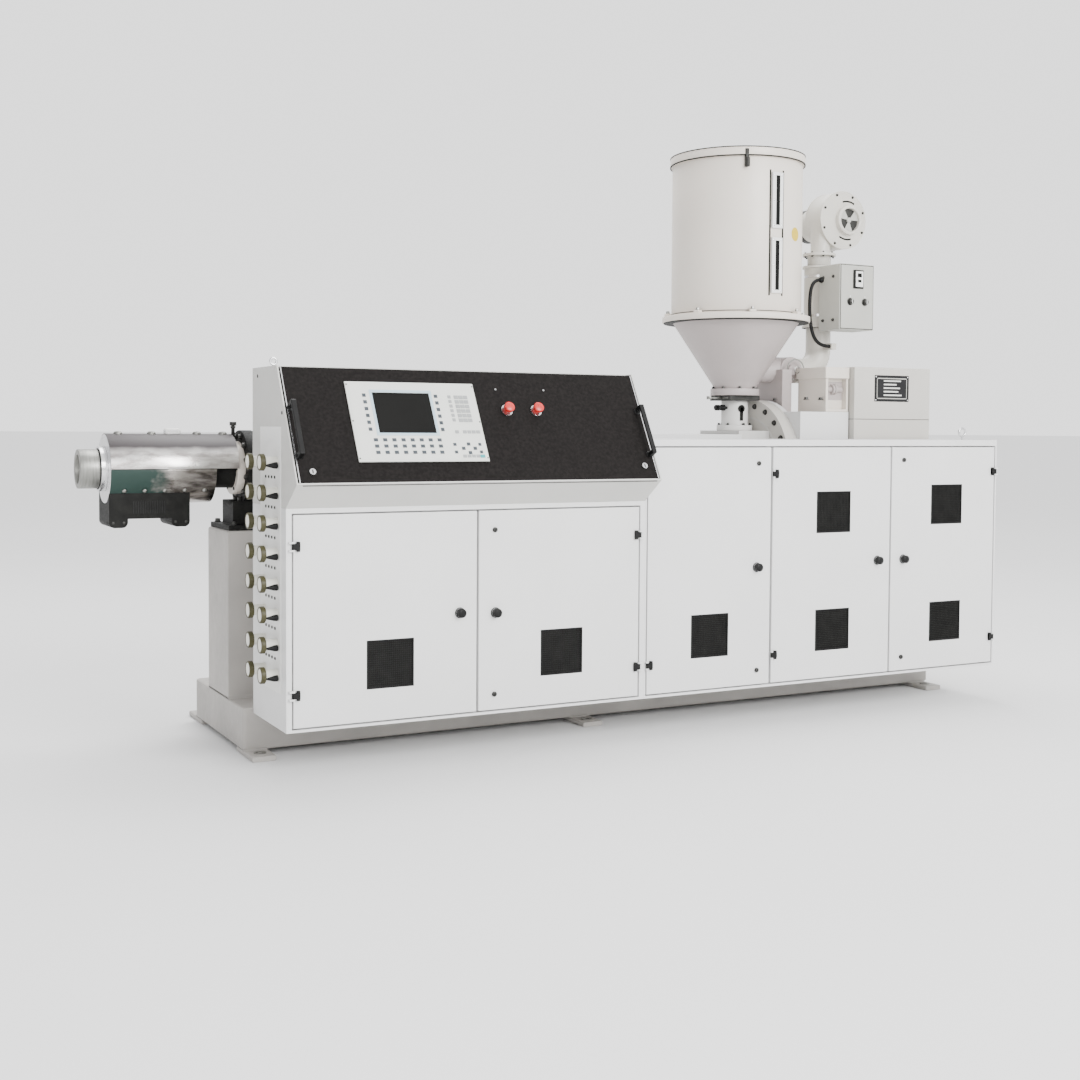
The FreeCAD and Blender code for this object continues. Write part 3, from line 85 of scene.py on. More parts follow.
def noise(tree, places, scale, detail=4.0, stretch=None):
    """A noise pattern, stretched along the axes if asked."""
    if stretch:
        mapping = tree.nodes.new("ShaderNodeMapping")
        mapping.inputs["Scale"].default_value = stretch
        tree.links.new(places, mapping.inputs["Vector"])
        places = mapping.outputs["Vector"]
    pattern = tree.nodes.new("ShaderNodeTexNoise")
    pattern.inputs["Scale"].default_value = scale
    pattern.inputs["Detail"].default_value = detail
    tree.links.new(places, pattern.inputs["Vector"])
    return pattern.outputs["Fac"]


def spread(tree, value, start, end, first, last):
    """A value's span from start to end, mapped to first to last and clamped."""
    span = tree.nodes.new("ShaderNodeMapRange")
    for socket, number in zip(("From Min", "From Max", "To Min", "To Max"),
                              (start, end, first, last)):
        span.inputs[socket].default_value = number
    tree.links.new(value, span.inputs["Value"])
    return span.outputs["Result"]


def mixed(tree, factor, first, second):
    """Two colours mixed by a factor; either may be a socket."""
    blend = tree.nodes.new("ShaderNodeMix")
    blend.data_type = "RGBA"
    tree.links.new(factor, blend.inputs["Factor"])
    for socket, colour in (("A", first), ("B", second)):
        target = next(s for s in blend.inputs if s.name == socket and s.type == "RGBA")
        if isinstance(colour, bpy.types.NodeSocket):
            tree.links.new(colour, target)
        else:
            target.default_value = (*colour, 1)
    return next(s for s in blend.outputs if s.type == "RGBA")


def add_bump(tree, shader, height, strength, distance=0.001):
    """A height pattern as a bump on the surface."""
    bump = tree.nodes.new("ShaderNodeBump")
    bump.inputs["Strength"].default_value = strength
    bump.inputs["Distance"].default_value = distance
    tree.links.new(height, bump.inputs["Height"])
    tree.links.new(bump.outputs["Normal"], shader.inputs["Normal"])


def coat(name, colour, shade=0.9, rough=(0.35, 0.5), metal=0.0, patch=6.0, grain=500.0,
         relief=0.15, stretch=None, gleam=0.5):
    """A finish with soft patches of tone, uneven gloss and a fine grain."""
    finish, tree, shader, places = new_finish(name)
    darker = tuple(shade * c for c in colour)
    patches = spread(tree, noise(tree, places, patch, 5.0, stretch), 0.35, 0.65, 0, 1)
    tree.links.new(mixed(tree, patches, darker, colour), shader.inputs["Base Color"])
    gloss = spread(tree, noise(tree, places, patch * 7, 3.0, stretch), 0.3, 0.7, *rough)
    tree.links.new(gloss, shader.inputs["Roughness"])
    shader.inputs["Metallic"].default_value = metal
    shader.inputs["Specular IOR Level"].default_value = gleam
    add_bump(tree, shader, noise(tree, places, grain, 2.0, stretch), relief)
    return finish


def shell_finish(name, upper):
    """Thin polished sheet: a dark band of painted reflection on top, or a green left half below."""
    finish, tree, shader, places = new_finish(name)
    axes = tree.nodes.new("ShaderNodeSeparateXYZ")
    tree.links.new(places, axes.inputs["Vector"])
    wobble = tree.nodes.new("ShaderNodeMath")
    wobble.operation = "MULTIPLY_ADD"
    tree.links.new(noise(tree, places, 22.0, 6.0), wobble.inputs[0])
    if upper:
        top = high("heater_shell_upper").z
        wobble.inputs[1].default_value = 0.012
        tree.links.new(axes.outputs["Z"], wobble.inputs[2])
        mask = spread(tree, wobble.outputs[0], top - 0.062, top - 0.040, 0, 1)
        # Dark band on top: painted reflection of a dark ceiling, darker and duller than the steel
        # below it.
        dull = (0.036, 0.029, 0.031)
        bare, bright = (0.40, 0.37, 0.36), (0.70, 0.68, 0.66)
    else:
        left, right = low("heater_shell_lower").x, high("heater_shell_lower").x
        wobble.inputs[1].default_value = 0.16
        tree.links.new(axes.outputs["X"], wobble.inputs[2])
        start = left + 0.62 * (right - left)
        mask = spread(tree, wobble.outputs[0], start, start + 0.07, 1, 0)
        dull = (0.006, 0.028, 0.021)
        bare, bright = (0.09, 0.078, 0.072), (0.38, 0.355, 0.33)
    streaks = spread(tree, noise(tree, places, 26.0, 5.0, (0.6, 2, 2)), 0.35, 0.62, 0, 1)
    steel = mixed(tree, streaks, bare, bright)
    tree.links.new(mixed(tree, mask, steel, dull), shader.inputs["Base Color"])
    tree.links.new(spread(tree, mask, 0, 1, 0.24, 0.5), shader.inputs["Roughness"])
    tree.links.new(spread(tree, mask, 0, 1, 1.0, 0.15), shader.inputs["Metallic"])
    add_bump(tree, shader, noise(tree, places, 90.0, 3.0, (8, 1, 1)), 0.08)
    return finish


GREY = coat("cabinet_paint", (0.69, 0.69, 0.685), 0.96, (0.38, 0.5), patch=3.0)
TRIM = coat("side_paint", (0.53, 0.525, 0.50), 0.95, (0.4, 0.52), patch=4.0)
BED = coat("bed_paint", (0.40, 0.38, 0.355), 0.85, (0.42, 0.6), patch=5.0, relief=0.25)
WRINKLE = coat("wrinkle_black", (0.012, 0.0105, 0.010), 0.6, (0.55, 0.75), patch=90.0,
               grain=900.0, relief=0.6, gleam=0.06)
BLACK = coat("moulded_black", (0.007, 0.007, 0.007), 0.6, (0.35, 0.5), patch=20.0, gleam=0.2)
SOOT = coat("furnace_black", (0.010, 0.010, 0.009), 0.5, (0.5, 0.7), patch=30.0, relief=0.4,
            gleam=0.15)
CREAM = coat("cream_enamel", (0.70, 0.645, 0.575), 0.95, (0.3, 0.42), patch=3.5)
HOOD = coat("motor_hood_enamel", (0.52, 0.50, 0.46), 0.94, (0.35, 0.5), patch=4.0)
SHADED = coat("dryer_enamel", (0.56, 0.54, 0.49), 0.92, (0.35, 0.5), patch=6.0)
WARM = coat("warm_grey", (0.40, 0.355, 0.345), 0.92, (0.35, 0.5), patch=5.0)
CAST = coat("cast_grey", (0.60, 0.59, 0.57), 0.9, (0.4, 0.6), patch=8.0, relief=0.35)
BOXED = coat("control_box_paint", (0.42, 0.42, 0.385), 0.93, (0.4, 0.55), patch=6.0)
WHITE = coat("white_plastic", (0.78, 0.78, 0.76), 0.96, (0.3, 0.45), patch=9.0)
MEMBRANE = coat("membrane", (0.66, 0.67, 0.63), 0.97, (0.4, 0.5), patch=8.0)
KEYCAP = coat("grey_keys", (0.30, 0.31, 0.31), 0.93, (0.4, 0.55), patch=30.0)
PALE_BLUE = coat("pale_blue", (0.42, 0.55, 0.62), 0.95, (0.4, 0.5), patch=12.0)
TEAL = coat("teal_key", (0.03, 0.30, 0.32), 0.9, (0.4, 0.5), patch=20.0)
GLASS = coat("display_glass", (0.008, 0.008, 0.0075), 0.8, (0.4, 0.5), patch=4.0, relief=0.02,
             gleam=0.06)
RED = coat("red_cap", (0.55, 0.025, 0.02), 0.85, (0.22, 0.35), patch=20.0, relief=0.03)
CHROME = coat("bright_plating", (0.72, 0.72, 0.73), 0.85, (0.14, 0.3), 1.0, 25.0, relief=0.04)
STEEL = coat("turned_steel", (0.30, 0.30, 0.28), 0.75, (0.32, 0.5), 1.0, 18.0,
             grain=300.0, relief=0.12, stretch=(10, 1, 1))
BOLT = coat("dark_bolt", (0.05, 0.05, 0.047), 0.7, (0.35, 0.55), 0.8, 40.0)
CERAMIC = coat("connector_body", (0.74, 0.73, 0.66), 0.93, (0.3, 0.45), patch=25.0)
BRASS = coat("connector_rim", (0.060, 0.055, 0.024), 0.7, (0.35, 0.5), patch=25.0, gleam=0.25)
DARK_KEY = coat("dark_keys", (0.055, 0.065, 0.075), 0.85, (0.4, 0.55), patch=30.0, gleam=0.2)
YELLOW = coat("yellow_dot", (0.62, 0.44, 0.004), 0.93, (0.4, 0.5), patch=30.0)
RUBBER = coat("lead_rubber", (0.009, 0.009, 0.009), 0.7, (0.5, 0.7), patch=40.0, gleam=0.2)
PLATE = coat("data_plate_black", (0.014, 0.014, 0.015), 0.7, (0.3, 0.45), patch=15.0, gleam=0.2)
SHELL_UPPER = shell_finish("shell_upper_steel", True)
SHELL_LOWER = shell_finish("shell_lower_steel", False)

# finish, and the width of the rounding along its edges
NODE_FINISHES = {
    "base_frame": (BED, 0.012), "floor_feet": (BED, 0.005), "barrel_pedestal": (BED, 0.008),
    "barrel_support_bracket": (SOOT, 0.003), "drive_stands": (BED, 0.004),
    "control_cabinet": (GREY, 0.0015), "drive_cabinet": (GREY, 0.0015),
    "console_housing": (TRIM, 0.0012), "console_lid": (WRINKLE, 0.003),
    "console_handles": (BLACK, 0.004), "console_lid_locks": (CHROME, 0.0015),
    "operator_panel": (MEMBRANE, 0.0015), "operator_screen": (GLASS, 0.0004),
    "emergency_stop_buttons": (RED, 0.004), "emergency_stop_rings": (CHROME, 0.0012),
    "cabinet_hinge_pins": (GREY, 0.0006), "connector_plate": (WHITE, 0.0006),
    "heater_connectors": (CERAMIC, 0.0015), "screw_barrel": (SOOT, 0.002),
    "nozzle": (STEEL, 0.0025), "heater_shell_upper": (SHELL_UPPER, 0.0012),
    "heater_shell_lower": (SHELL_LOWER, 0.0012), "barrel_end_ring": (CREAM, 0.002),
    "barrel_flange": (SOOT, 0.003), "heater_fan": (SOOT, 0.010),
    "melt_pressure_sensor": (BOLT, 0.0015), "barrel_cover": (GREY, 0.003),
    "feed_section": (CAST, 0.004), "hopper_throat": (CAST, 0.003),
    "gate_housing": (BOLT, 0.0015), "slide_gate": (STEEL, 0.0015),
    "hopper_cone": (WARM, 0.0012), "hopper_clamp_flange": (CREAM, 0.004),
    "hopper_drum": (CREAM, 0.0012), "hopper_lid": (CREAM, 0.006),
    "hopper_sight_glasses": (WHITE, 0.003), "hot_air_inlet": (WARM, 0.004),
    "hot_air_elbow": (SHADED, 0.003), "air_heater_duct": (SHADED, 0.003),
    "dryer_blower": (SHADED, 0.006), "blower_motor": (SHADED, 0.006),
    "dryer_control_box": (BOXED, 0.003), "gearbox_flange": (HOOD, 0.005),
    "gearbox": (GREY, 0.008), "coupling_guard": (CREAM, 0.003),
    "motor_housing": (HOOD, 0.006), "rating_plate": (PLATE, 0.0006),
    "lifting_eyes": (CHROME, 0.0006),
}
for number in range(1, 6):
    NODE_FINISHES[f"door_{number}"] = (GREY, 0.0025)
    NODE_FINISHES[f"door_{number}_fittings"] = (BLACK, 0.0012)


def add_bevel(piece, width):
    """Rounds the edges where two faces turn sharply."""
    bevel = piece.modifiers.new("edges", "BEVEL")
    bevel.width = width
    bevel.segments = 2
    bevel.limit_method = "ANGLE"
    return bevel


def round_edges(piece, width):
    """Rounds a CAD piece's sharp edges; seams in the mesh are closed first."""
    weld = piece.modifiers.new("weld", "WELD")
    weld.merge_threshold = 1e-5
    add_bevel(piece, width).angle_limit = math.radians(50)


for name, (finish, width) in NODE_FINISHES.items():
    NODES[name].data.materials.clear()
    NODES[name].data.materials.append(finish)
    round_edges(NODES[name], width)


# --- Pieces made in mesh code ---
class Shape:
    """A mesh that grows from closed solids, set down in a frame of its own."""

    def __init__(self, place=None):
        self.mesh = bmesh.new()
        self.place = place or Matrix()

    def box(self, first, last):
        """A block between two corners."""
        lo = [min(a, b) for a, b in zip(first, last)]
        hi = [max(a, b) for a, b in zip(first, last)]
        corners = [self.mesh.verts.new((x, y, z))
                   for x in (lo[0], hi[0]) for y in (lo[1], hi[1]) for z in (lo[2], hi[2])]
        for ring in ((0, 1, 3, 2), (4, 6, 7, 5), (0, 4, 5, 1), (2, 3, 7, 6),
                     (0, 2, 6, 4), (1, 5, 7, 3)):
            self.mesh.faces.new([corners[k] for k in ring])
        return self

    def turn(self, base, axis, profile, sides=32, closed=False, start=0.0, sweep=2 * math.pi):
        """A profile of (radius, height) turned about an axis; closed joins its two ends."""
        axis = Vector(axis).normalized()
        side = axis.orthogonal().normalized()
        if abs(axis.z) < 0.5:
            side = Z.copy()
        other = axis.cross(side)
        full = abs(sweep - 2 * math.pi) < 1e-6
        count = sides if full else sides + 1
        rings = []
        for radius, height in profile:
            rings.append([self.mesh.verts.new(
                Vector(base) + axis * height
                + (side * math.cos(start + sweep * k / sides)
                   + other * math.sin(start + sweep * k / sides)) * max(radius, 1e-5))
                for k in range(count)])
        pairs = list(zip(rings, rings[1:]))
        if closed:
            pairs.append((rings[-1], rings[0]))
        for first, second in pairs:
            for k in range(count if full else count - 1):
                after = (k + 1) % count
                self.mesh.faces.new((first[k], first[after], second[after], second[k]))
        if full and not closed:
            self.mesh.faces.new(list(reversed(rings[0])))
            self.mesh.faces.new(rings[-1])
        if not full:
            self.mesh.faces.new([ring[0] for ring in rings])
            self.mesh.faces.new([ring[-1] for ring in reversed(rings)])
        return self

    def rod(self, base, axis, radius, length, sides=32):
        """A plain round length."""
        return self.turn(base, axis, [(radius, 0), (radius, length)], sides)

    def tube(self, base, axis, inner, outer, length, sides=64, start=0.0, sweep=2 * math.pi):
        """A ring with a square section, or part of one."""
        return self.turn(base, axis, [(inner, 0), (outer, 0), (outer, length), (inner, length)],
                         sides, True, start, sweep)

    def frame(self, corners, strips, front, back):
        """Upright strips round an opening: bottom, top, left and right."""
        (left, bottom), (right, top) = corners
        tall, wide = strips
        for x, z, far, up in ((left, bottom, right, bottom + tall), (left, top - tall, right, top),
                              (left, bottom, left + wide, top), (right - wide, bottom, right, top)):
            self.box((x, front, z), (far, back, up))
        return self

    def add(self, other):
        """Moves another shape's mesh into this one, at the other's place."""
        data = bpy.data.meshes.new("part")
        other.mesh.transform(other.place)
        other.mesh.to_mesh(data)
        other.mesh.free()
        self.mesh.from_mesh(data)
        bpy.data.meshes.remove(data)

    def bolt(self, base, axis, radius, length=None):
        """A hexagon head on a washer."""
        length = length or 0.6 * radius
        self.rod(base, axis, 1.25 * radius, 0.25 * length, 20)
        top = Vector(base) + Vector(axis).normalized() * 0.2 * length
        return self.turn(top, axis, [(radius, 0), (radius, 0.6 * length),
                                     (0.82 * radius, 0.8 * length)], 6)

    def piece(self, name, finish, body=MACHINE, width=0.0, slot=None):
        """The finished piece, riding on its body."""
        bmesh.ops.recalc_face_normals(self.mesh, faces=self.mesh.faces)
        data = bpy.data.meshes.new(name)
        self.mesh.transform(self.place)
        self.mesh.to_mesh(data)
        self.mesh.free()
        data.shade_smooth()
        data.set_sharp_from_angle(angle=math.radians(35))
        data.materials.append(finish)
        piece = linked(name, data)
        if width:
            add_bevel(piece, width)
        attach(piece, body)
        return piece


def around(centre, across, radius, count, first=0.0):
    """Places spaced evenly round a circle lying across Y ("XZ"), Z ("XY") or X ("YZ")."""
    for k in range(count):
        angle = 2 * math.pi * (k + first) / count
        place = Vector(centre)
        place["XYZ".index(across[0])] += radius * math.cos(angle)
        place["XYZ".index(across[1])] += radius * math.sin(angle)
        yield place


# --- Console ---
CONSOLE_LIP = 0.115         # how far the face's foot stands out from the cabinets
CONSOLE_LIP_RISE = 0.084    # the foot's height over the cabinet
CONSOLE_BROW = 0.102        # how far back the face's top edge lies
LID_EDGE = 0.004
LID_LOCK_RADIUS = 0.011
GRIP_HALF, GRIP_DOWN, GRIP_LENGTH, GRIP_FOOT = 0.009, 0.152, 0.205, 0.012
STOP_HALF_PITCH, STOP_RISE = 0.059, 0.0285
PANEL_FACE, PANEL_HEIGHT = 0.006, 0.310     # how far the panel stands out, and its height
SCREEN_DOWN, SCREEN_HEIGHT = 0.042, 0.159
SHEET, KEY_RISE = 0.0008, 0.0014

case_low, case_high = low("console_housing"), high("console_housing")
brow = Vector((case_low.x, case_low.y + CONSOLE_LIP + CONSOLE_BROW, case_high.z))
face_foot = Vector((case_low.x, case_low.y, case_low.z + CONSOLE_LIP_RISE))
up_slope = (brow - face_foot).normalized()
outward = X.cross(up_slope)
if outward.y > 0:
    outward = -outward
# local axes on the face: X across, Y up the slope from the brow, Z out of the face
FACE = Matrix.Translation(brow) @ Matrix((X, up_slope, outward)).transposed().to_4x4()


def face_place(point):
    """A point on the face in its local axes."""
    return FACE.inverted() @ Vector(point)


def face_box(shape, across, down, width, drop, base, rise):
    """A block lying on the face: its top left corner, size, and how far it stands out."""
    return shape.box((across, -down, base), (across + width, -down - drop, base + rise))


def face_frame(outer, inner, base):
    """Four strips of sheet on the face between two rectangles (left, top, right, foot)."""
    shape, width, drop = Shape(FACE), outer[2] - outer[0], inner[3] - inner[1]
    face_box(shape, outer[0], outer[1], width, inner[1] - outer[1], base, SHEET)
    face_box(shape, outer[0], inner[3], width, outer[3] - inner[3], base, SHEET)
    face_box(shape, outer[0], inner[1], inner[0] - outer[0], drop, base, SHEET)
    face_box(shape, inner[2], inner[1], outer[2] - inner[2], drop, base, SHEET)
    return shape


def make_console():
    """Edges of the lid, grips' feet, locks' slots, lamps, buttons' domes, a dark strip of painted
    shadow under the lid, and screws.
    """
    lid_low = face_place((low("console_lid").x, brow.y, brow.z)).x
    lid_high = face_place((high("console_lid").x, brow.y, brow.z)).x
    slope = (brow - face_foot).length
    edge = Shape(FACE)
    for across in (lid_low, lid_high - LID_EDGE):
        face_box(edge, across, 0.006, LID_EDGE, slope - 0.012, -0.0005, 0.0018)
    edge.piece("console_lid_edges", CHROME, LID, 0.0004, "bright_steel")
    feet = Shape(FACE)
    for side in (low("console_handles").x + GRIP_HALF, high("console_handles").x - GRIP_HALF):
        for down in (GRIP_DOWN + GRIP_FOOT, GRIP_DOWN + GRIP_LENGTH - GRIP_FOOT):
            feet.turn((side - brow.x, -down, 0.0), Z,
                      [(0.013, 0), (0.013, 0.003), (0.010, 0.005)], 24)
    feet.piece("console_handle_feet", BLACK, LID, slot="black_plastic")
    locks = Shape(FACE)
    for side, drop in ((low("console_lid_locks").x + LID_LOCK_RADIUS, 0.405),
                       (high("console_lid_locks").x - LID_LOCK_RADIUS, 0.393)):
        centre = side - brow.x
        locks.box((centre - 0.002, -drop - 0.007, 0.004), (centre + 0.002, -drop + 0.007, 0.0068))
    locks.piece("console_lock_slots", BLACK, LID, 0.0003)
    lamps, rims, caps = (Shape(FACE) for _ in range(3))
    stops = face_place(middle("emergency_stop_rings"))
    for across in (stops.x - 0.085, stops.x + 0.111):
        lamps.turn((across, stops.y + 0.086, 0.0), Z,
                   [(0.0035, 0), (0.0035, 0.002), (0.0025, 0.003), (0.0, 0.0035)], 24)
        rims.turn((across, stops.y + 0.086, 0.0), Z,
                  [(0.004, 0), (0.005, 0), (0.005, 0.0015), (0.004, 0.002)], 24, True)
    lamps.piece("console_lamps", KEYCAP, LID, slot="panel_plastic")
    rims.piece("console_lamp_rims", BOLT, LID, slot="bright_steel")
    for across in (stops.x - STOP_HALF_PITCH, stops.x + STOP_HALF_PITCH):
        caps.turn((across, stops.y, STOP_RISE), Z,
                  [(0.0185, 0), (0.0165, 0.0035), (0.010, 0.0055), (0.0, 0.0062)], 40)
    caps.piece("emergency_stop_domes", RED, LID, slot="red_plastic")
    # Dark strip just under the lid's foot: painted shadow cast by the lid.
    seam = Shape()
    top = case_low.z + CONSOLE_LIP_RISE
    seam.box((case_low.x + 0.02, case_low.y + 0.0005, top - 0.006),
             (case_high.x - 0.02, case_low.y - 0.0002, top - 0.003))
    screws = Shape()
    for x in (case_low.x, case_high.x):
        for y, z in ((brow.y - 0.06, brow.z - 0.16), (brow.y + 0.22, brow.z - 0.03),
                     (brow.y + 0.22, case_low.z + 0.05)):
            screws.turn((x, y, z), X if x > 0 else -X,
                        [(0.006, -0.001), (0.006, 0.001), (0.003, 0.002)], 18)
    # The strip of painted shadow under the lid.
    seam.piece("console_lid_painted_shadow", BOLT)
    screws.piece("console_side_screws", BOLT, slot="bright_steel")


def make_panel():
    """The membrane with its screen frame and keys."""
    left = low("operator_panel").x - brow.x
    right = high("operator_panel").x - brow.x
    lean = math.asin(up_slope.y)
    top = (brow.z + PANEL_FACE * math.sin(lean) - high("operator_panel").z) / math.cos(lean)
    screen_left = low("operator_screen").x - brow.x
    screen_right = high("operator_screen").x - brow.x
    screen_top = top + SCREEN_DOWN
    screen = (screen_left, screen_top, screen_right, screen_top + SCREEN_HEIGHT)
    edge, wide = 0.008, 0.010
    base = PANEL_FACE + SHEET
    sheet = face_frame((left + edge, top + edge, right - edge, top + PANEL_HEIGHT - edge), screen,
                       PANEL_FACE)
    sheet.piece("panel_membrane", MEMBRANE, LID, 0.0002, "panel_plastic")
    border = face_frame((screen[0] - wide, screen[1] - wide, screen[2] + wide, screen[3] + wide),
                        screen, base)
    border.piece("panel_screen_border", PALE_BLUE, LID, 0.0002, "panel_plastic")
    grey_keys, dark_keys = Shape(FACE), Shape(FACE)

    def key(shape, across, down, width, drop):
        face_box(shape, left + across, top + down, width, drop, base, KEY_RISE)

    for row in range(6):
        for across in (0.055, 0.322):
            key(dark_keys, across, 0.048 + row * 0.0265, 0.013, 0.013)
        down = 0.050 + row * 0.0185
        key(grey_keys, 0.374, down, 0.012, 0.012)
        for column in range(3):
            key(grey_keys, 0.398 + column * 0.018, down, 0.016, 0.014)
    for row in range(3):
        for column in range(8):
            key(dark_keys, 0.066 + column * 0.0335, 0.222 + row * 0.024, 0.015, 0.012)
    key(grey_keys, 0.374, 0.190, 0.014, 0.012)
    for column in range(4):
        key(grey_keys, 0.404 + column * 0.017, 0.190, 0.014, 0.012)
        key(grey_keys, 0.384 + column * 0.017, 0.286, 0.014, 0.011)
    for across, down in ((0.408, 0.238), (0.408, 0.272), (0.386, 0.255), (0.430, 0.255)):
        key(dark_keys, across, down, 0.013, 0.012)
    for down in (0.240, 0.270):
        key(dark_keys, 0.356, down, 0.012, 0.011)
        key(dark_keys, 0.452, down, 0.011, 0.011)
    dark_keys.piece("panel_dark_keys", DARK_KEY, LID, 0.0004, "panel_plastic")
    grey_keys.piece("panel_grey_keys", KEYCAP, LID, 0.0004, "panel_plastic")
    teal = face_box(Shape(FACE), left + 0.450, top + 0.286, 0.018, 0.012, base, 0.0012)
    teal.piece("panel_teal_key", TEAL, LID, 0.0003, "panel_plastic")
    screws = Shape(FACE)
    for across in (left + 0.005, right - 0.005):
        for down in (top + 0.012, top + PANEL_HEIGHT / 2, top + PANEL_HEIGHT - 0.012):
            screws.turn((across, -down, PANEL_FACE - 0.0002), Z,
                        [(0.0028, 0), (0.0028, 0.001), (0.0015, 0.0016)], 14)
    screws.piece("panel_screws", BOLT, LID, slot="bright_steel")


# --- Doors ---
GRILLE_WIDTH, GRILLE_HEIGHT = 0.174, 0.168
GRILLE_STEP = 0.0075
# per door: hinge side, distance from the door's left to the grille, and grille feet
DOOR_GRILLES = {1: (0.260, [0.112]), 2: (0.250, [0.108]), 3: (0.200, [0.124]),
                4: (0.220, [0.112, 0.592]), 5: (0.218, [0.112, 0.612])}
HINGE_LEFT = {1: True, 2: False, 3: True, 4: True, 5: False}
KNOB_HEIGHTS = {1: 0.357, 2: 0.350, 3: 0.466, 4: 0.470, 5: 0.470}
DOOR_LOCKS = {2: (0.057, 0.647), 3: (0.057, 0.876), 5: (0.057, 0.886)}
KNOB_INSET, LOCK_INSET = 0.066, 0.062
HINGE_LOW, HINGE_HIGH = 0.112, 0.105


def make_doors():
    """Woven grilles, grip caps, lock barrels and hinge covers on each door."""
    for number, (across, feet) in DOOR_GRILLES.items():
        name = f"door_{number}"
        body = f"door_{number}_leaf"
        start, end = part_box(name)
        front = start.y
        mesh, rim = Shape(), Shape()
        for foot in feet:
            left, bottom = start.x + across, start.z + foot
            right, top = left + GRILLE_WIDTH, bottom + GRILLE_HEIGHT
            back = front + 0.004
            for k in range(1, round(GRILLE_WIDTH / GRILLE_STEP)):
                x = left + k * GRILLE_STEP
                mesh.box((x - 0.0011, front + 0.0018, bottom), (x + 0.0011, back, top))
            for k in range(1, round(GRILLE_HEIGHT / GRILLE_STEP)):
                z = bottom + k * GRILLE_STEP
                mesh.box((left, front + 0.0010, z - 0.0011), (right, back, z + 0.0011))
            rim.frame(((left, bottom), (right, top)), (0.005, 0.005), front - 0.0008, back)
        mesh.piece(f"{name}_mesh", SOOT, body, slot="black_plastic")
        rim.piece(f"{name}_mesh_rim", BLACK, body, 0.0006, "black_plastic")
        free = end.x if HINGE_LEFT[number] else start.x
        inward = -1 if HINGE_LEFT[number] else 1
        knob_x = free + inward * KNOB_INSET
        knob_z = start.z + KNOB_HEIGHTS[number]
        cap = Shape()
        cap.turn((knob_x, front, knob_z), -Y,
                 [(0.0165, 0), (0.019, 0), (0.019, 0.002), (0.0165, 0.003)], 36, True)
        cap.turn((knob_x, front - 0.0215, knob_z), -Y,
                 [(0.0145, 0), (0.013, 0.0015), (0.008, 0.0025), (0.0, 0.003)], 32)
        cap.piece(f"{name}_knob_trim", BLACK, body, slot="black_plastic")
        grip = Shape().box((knob_x - 0.002, front - 0.0235, knob_z - 0.010),
                           (knob_x + 0.002, front - 0.0248, knob_z + 0.010))
        grip.piece(f"{name}_knob_grip", BLACK, body, 0.001, "black_plastic")
        covers = Shape()
        hinge_x = start.x if HINGE_LEFT[number] else end.x
        for z in (start.z + HINGE_LOW, end.z - HINGE_HIGH):
            covers.box((hinge_x - inward * 0.010, front - 0.0105, z - 0.017),
                       (hinge_x - inward * 0.021, front - 0.0005, z + 0.017))
        covers.piece(f"{name}_hinge_covers", BLACK, body, 0.0015, "black_plastic")
        heights = DOOR_LOCKS.get(number, ())
        if heights:
            barrels, keyways = Shape(), Shape()
            lock_x = free + inward * LOCK_INSET
            for up in heights:
                barrels.turn((lock_x, front - 0.004, start.z + up), -Y,
                             [(0.0085, 0), (0.0085, 0.002), (0.0065, 0.003)], 28)
                keyways.box((lock_x - 0.0012, front - 0.0065, start.z + up - 0.005),
                            (lock_x + 0.0012, front - 0.0073, start.z + up + 0.005))
            barrels.piece(f"{name}_lock_barrels", BOLT, body, slot="bright_steel")
            keyways.piece(f"{name}_keyways", BLACK, body)


def make_cabinet_backs():
    """Seams and screws of both cabinets' rear panels."""
    seams, screws = Shape(), Shape()
    for name, bays in (("control_cabinet", 2), ("drive_cabinet", 3)):
        start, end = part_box(name)
        pitch = (end.x - start.x) / bays
        for bay in range(bays):
            left, right = start.x + bay * pitch + 0.02, start.x + (bay + 1) * pitch - 0.02
            for x in (left, right):
                seams.box((x - 0.001, end.y - 0.0005, start.z + 0.03),
                          (x + 0.001, end.y + 0.0006, end.z - 0.03))
            for z in (start.z + 0.03, end.z - 0.03):
                seams.box((left, end.y - 0.0005, z - 0.001), (right, end.y + 0.0006, z + 0.001))
            for x in (left + 0.03, (left + right) / 2, right - 0.03):
                for z in (start.z + 0.05, end.z - 0.05):
                    screws.turn((x, end.y - 0.0005, z), Y, [(0.006, 0), (0.006, 0.002),
                                                            (0.003, 0.003)], 16)
    seams.piece("cabinet_back_seams", BOLT)
    screws.piece("cabinet_back_screws", CHROME, slot="bright_steel")


# --- Left end: connectors, barrel and heater ---
PLUG_ROWS, PLUG_PITCH = 8, 0.1026
PLUG_RADIUS, PLUG_RIM_RADIUS = 0.019, 0.027


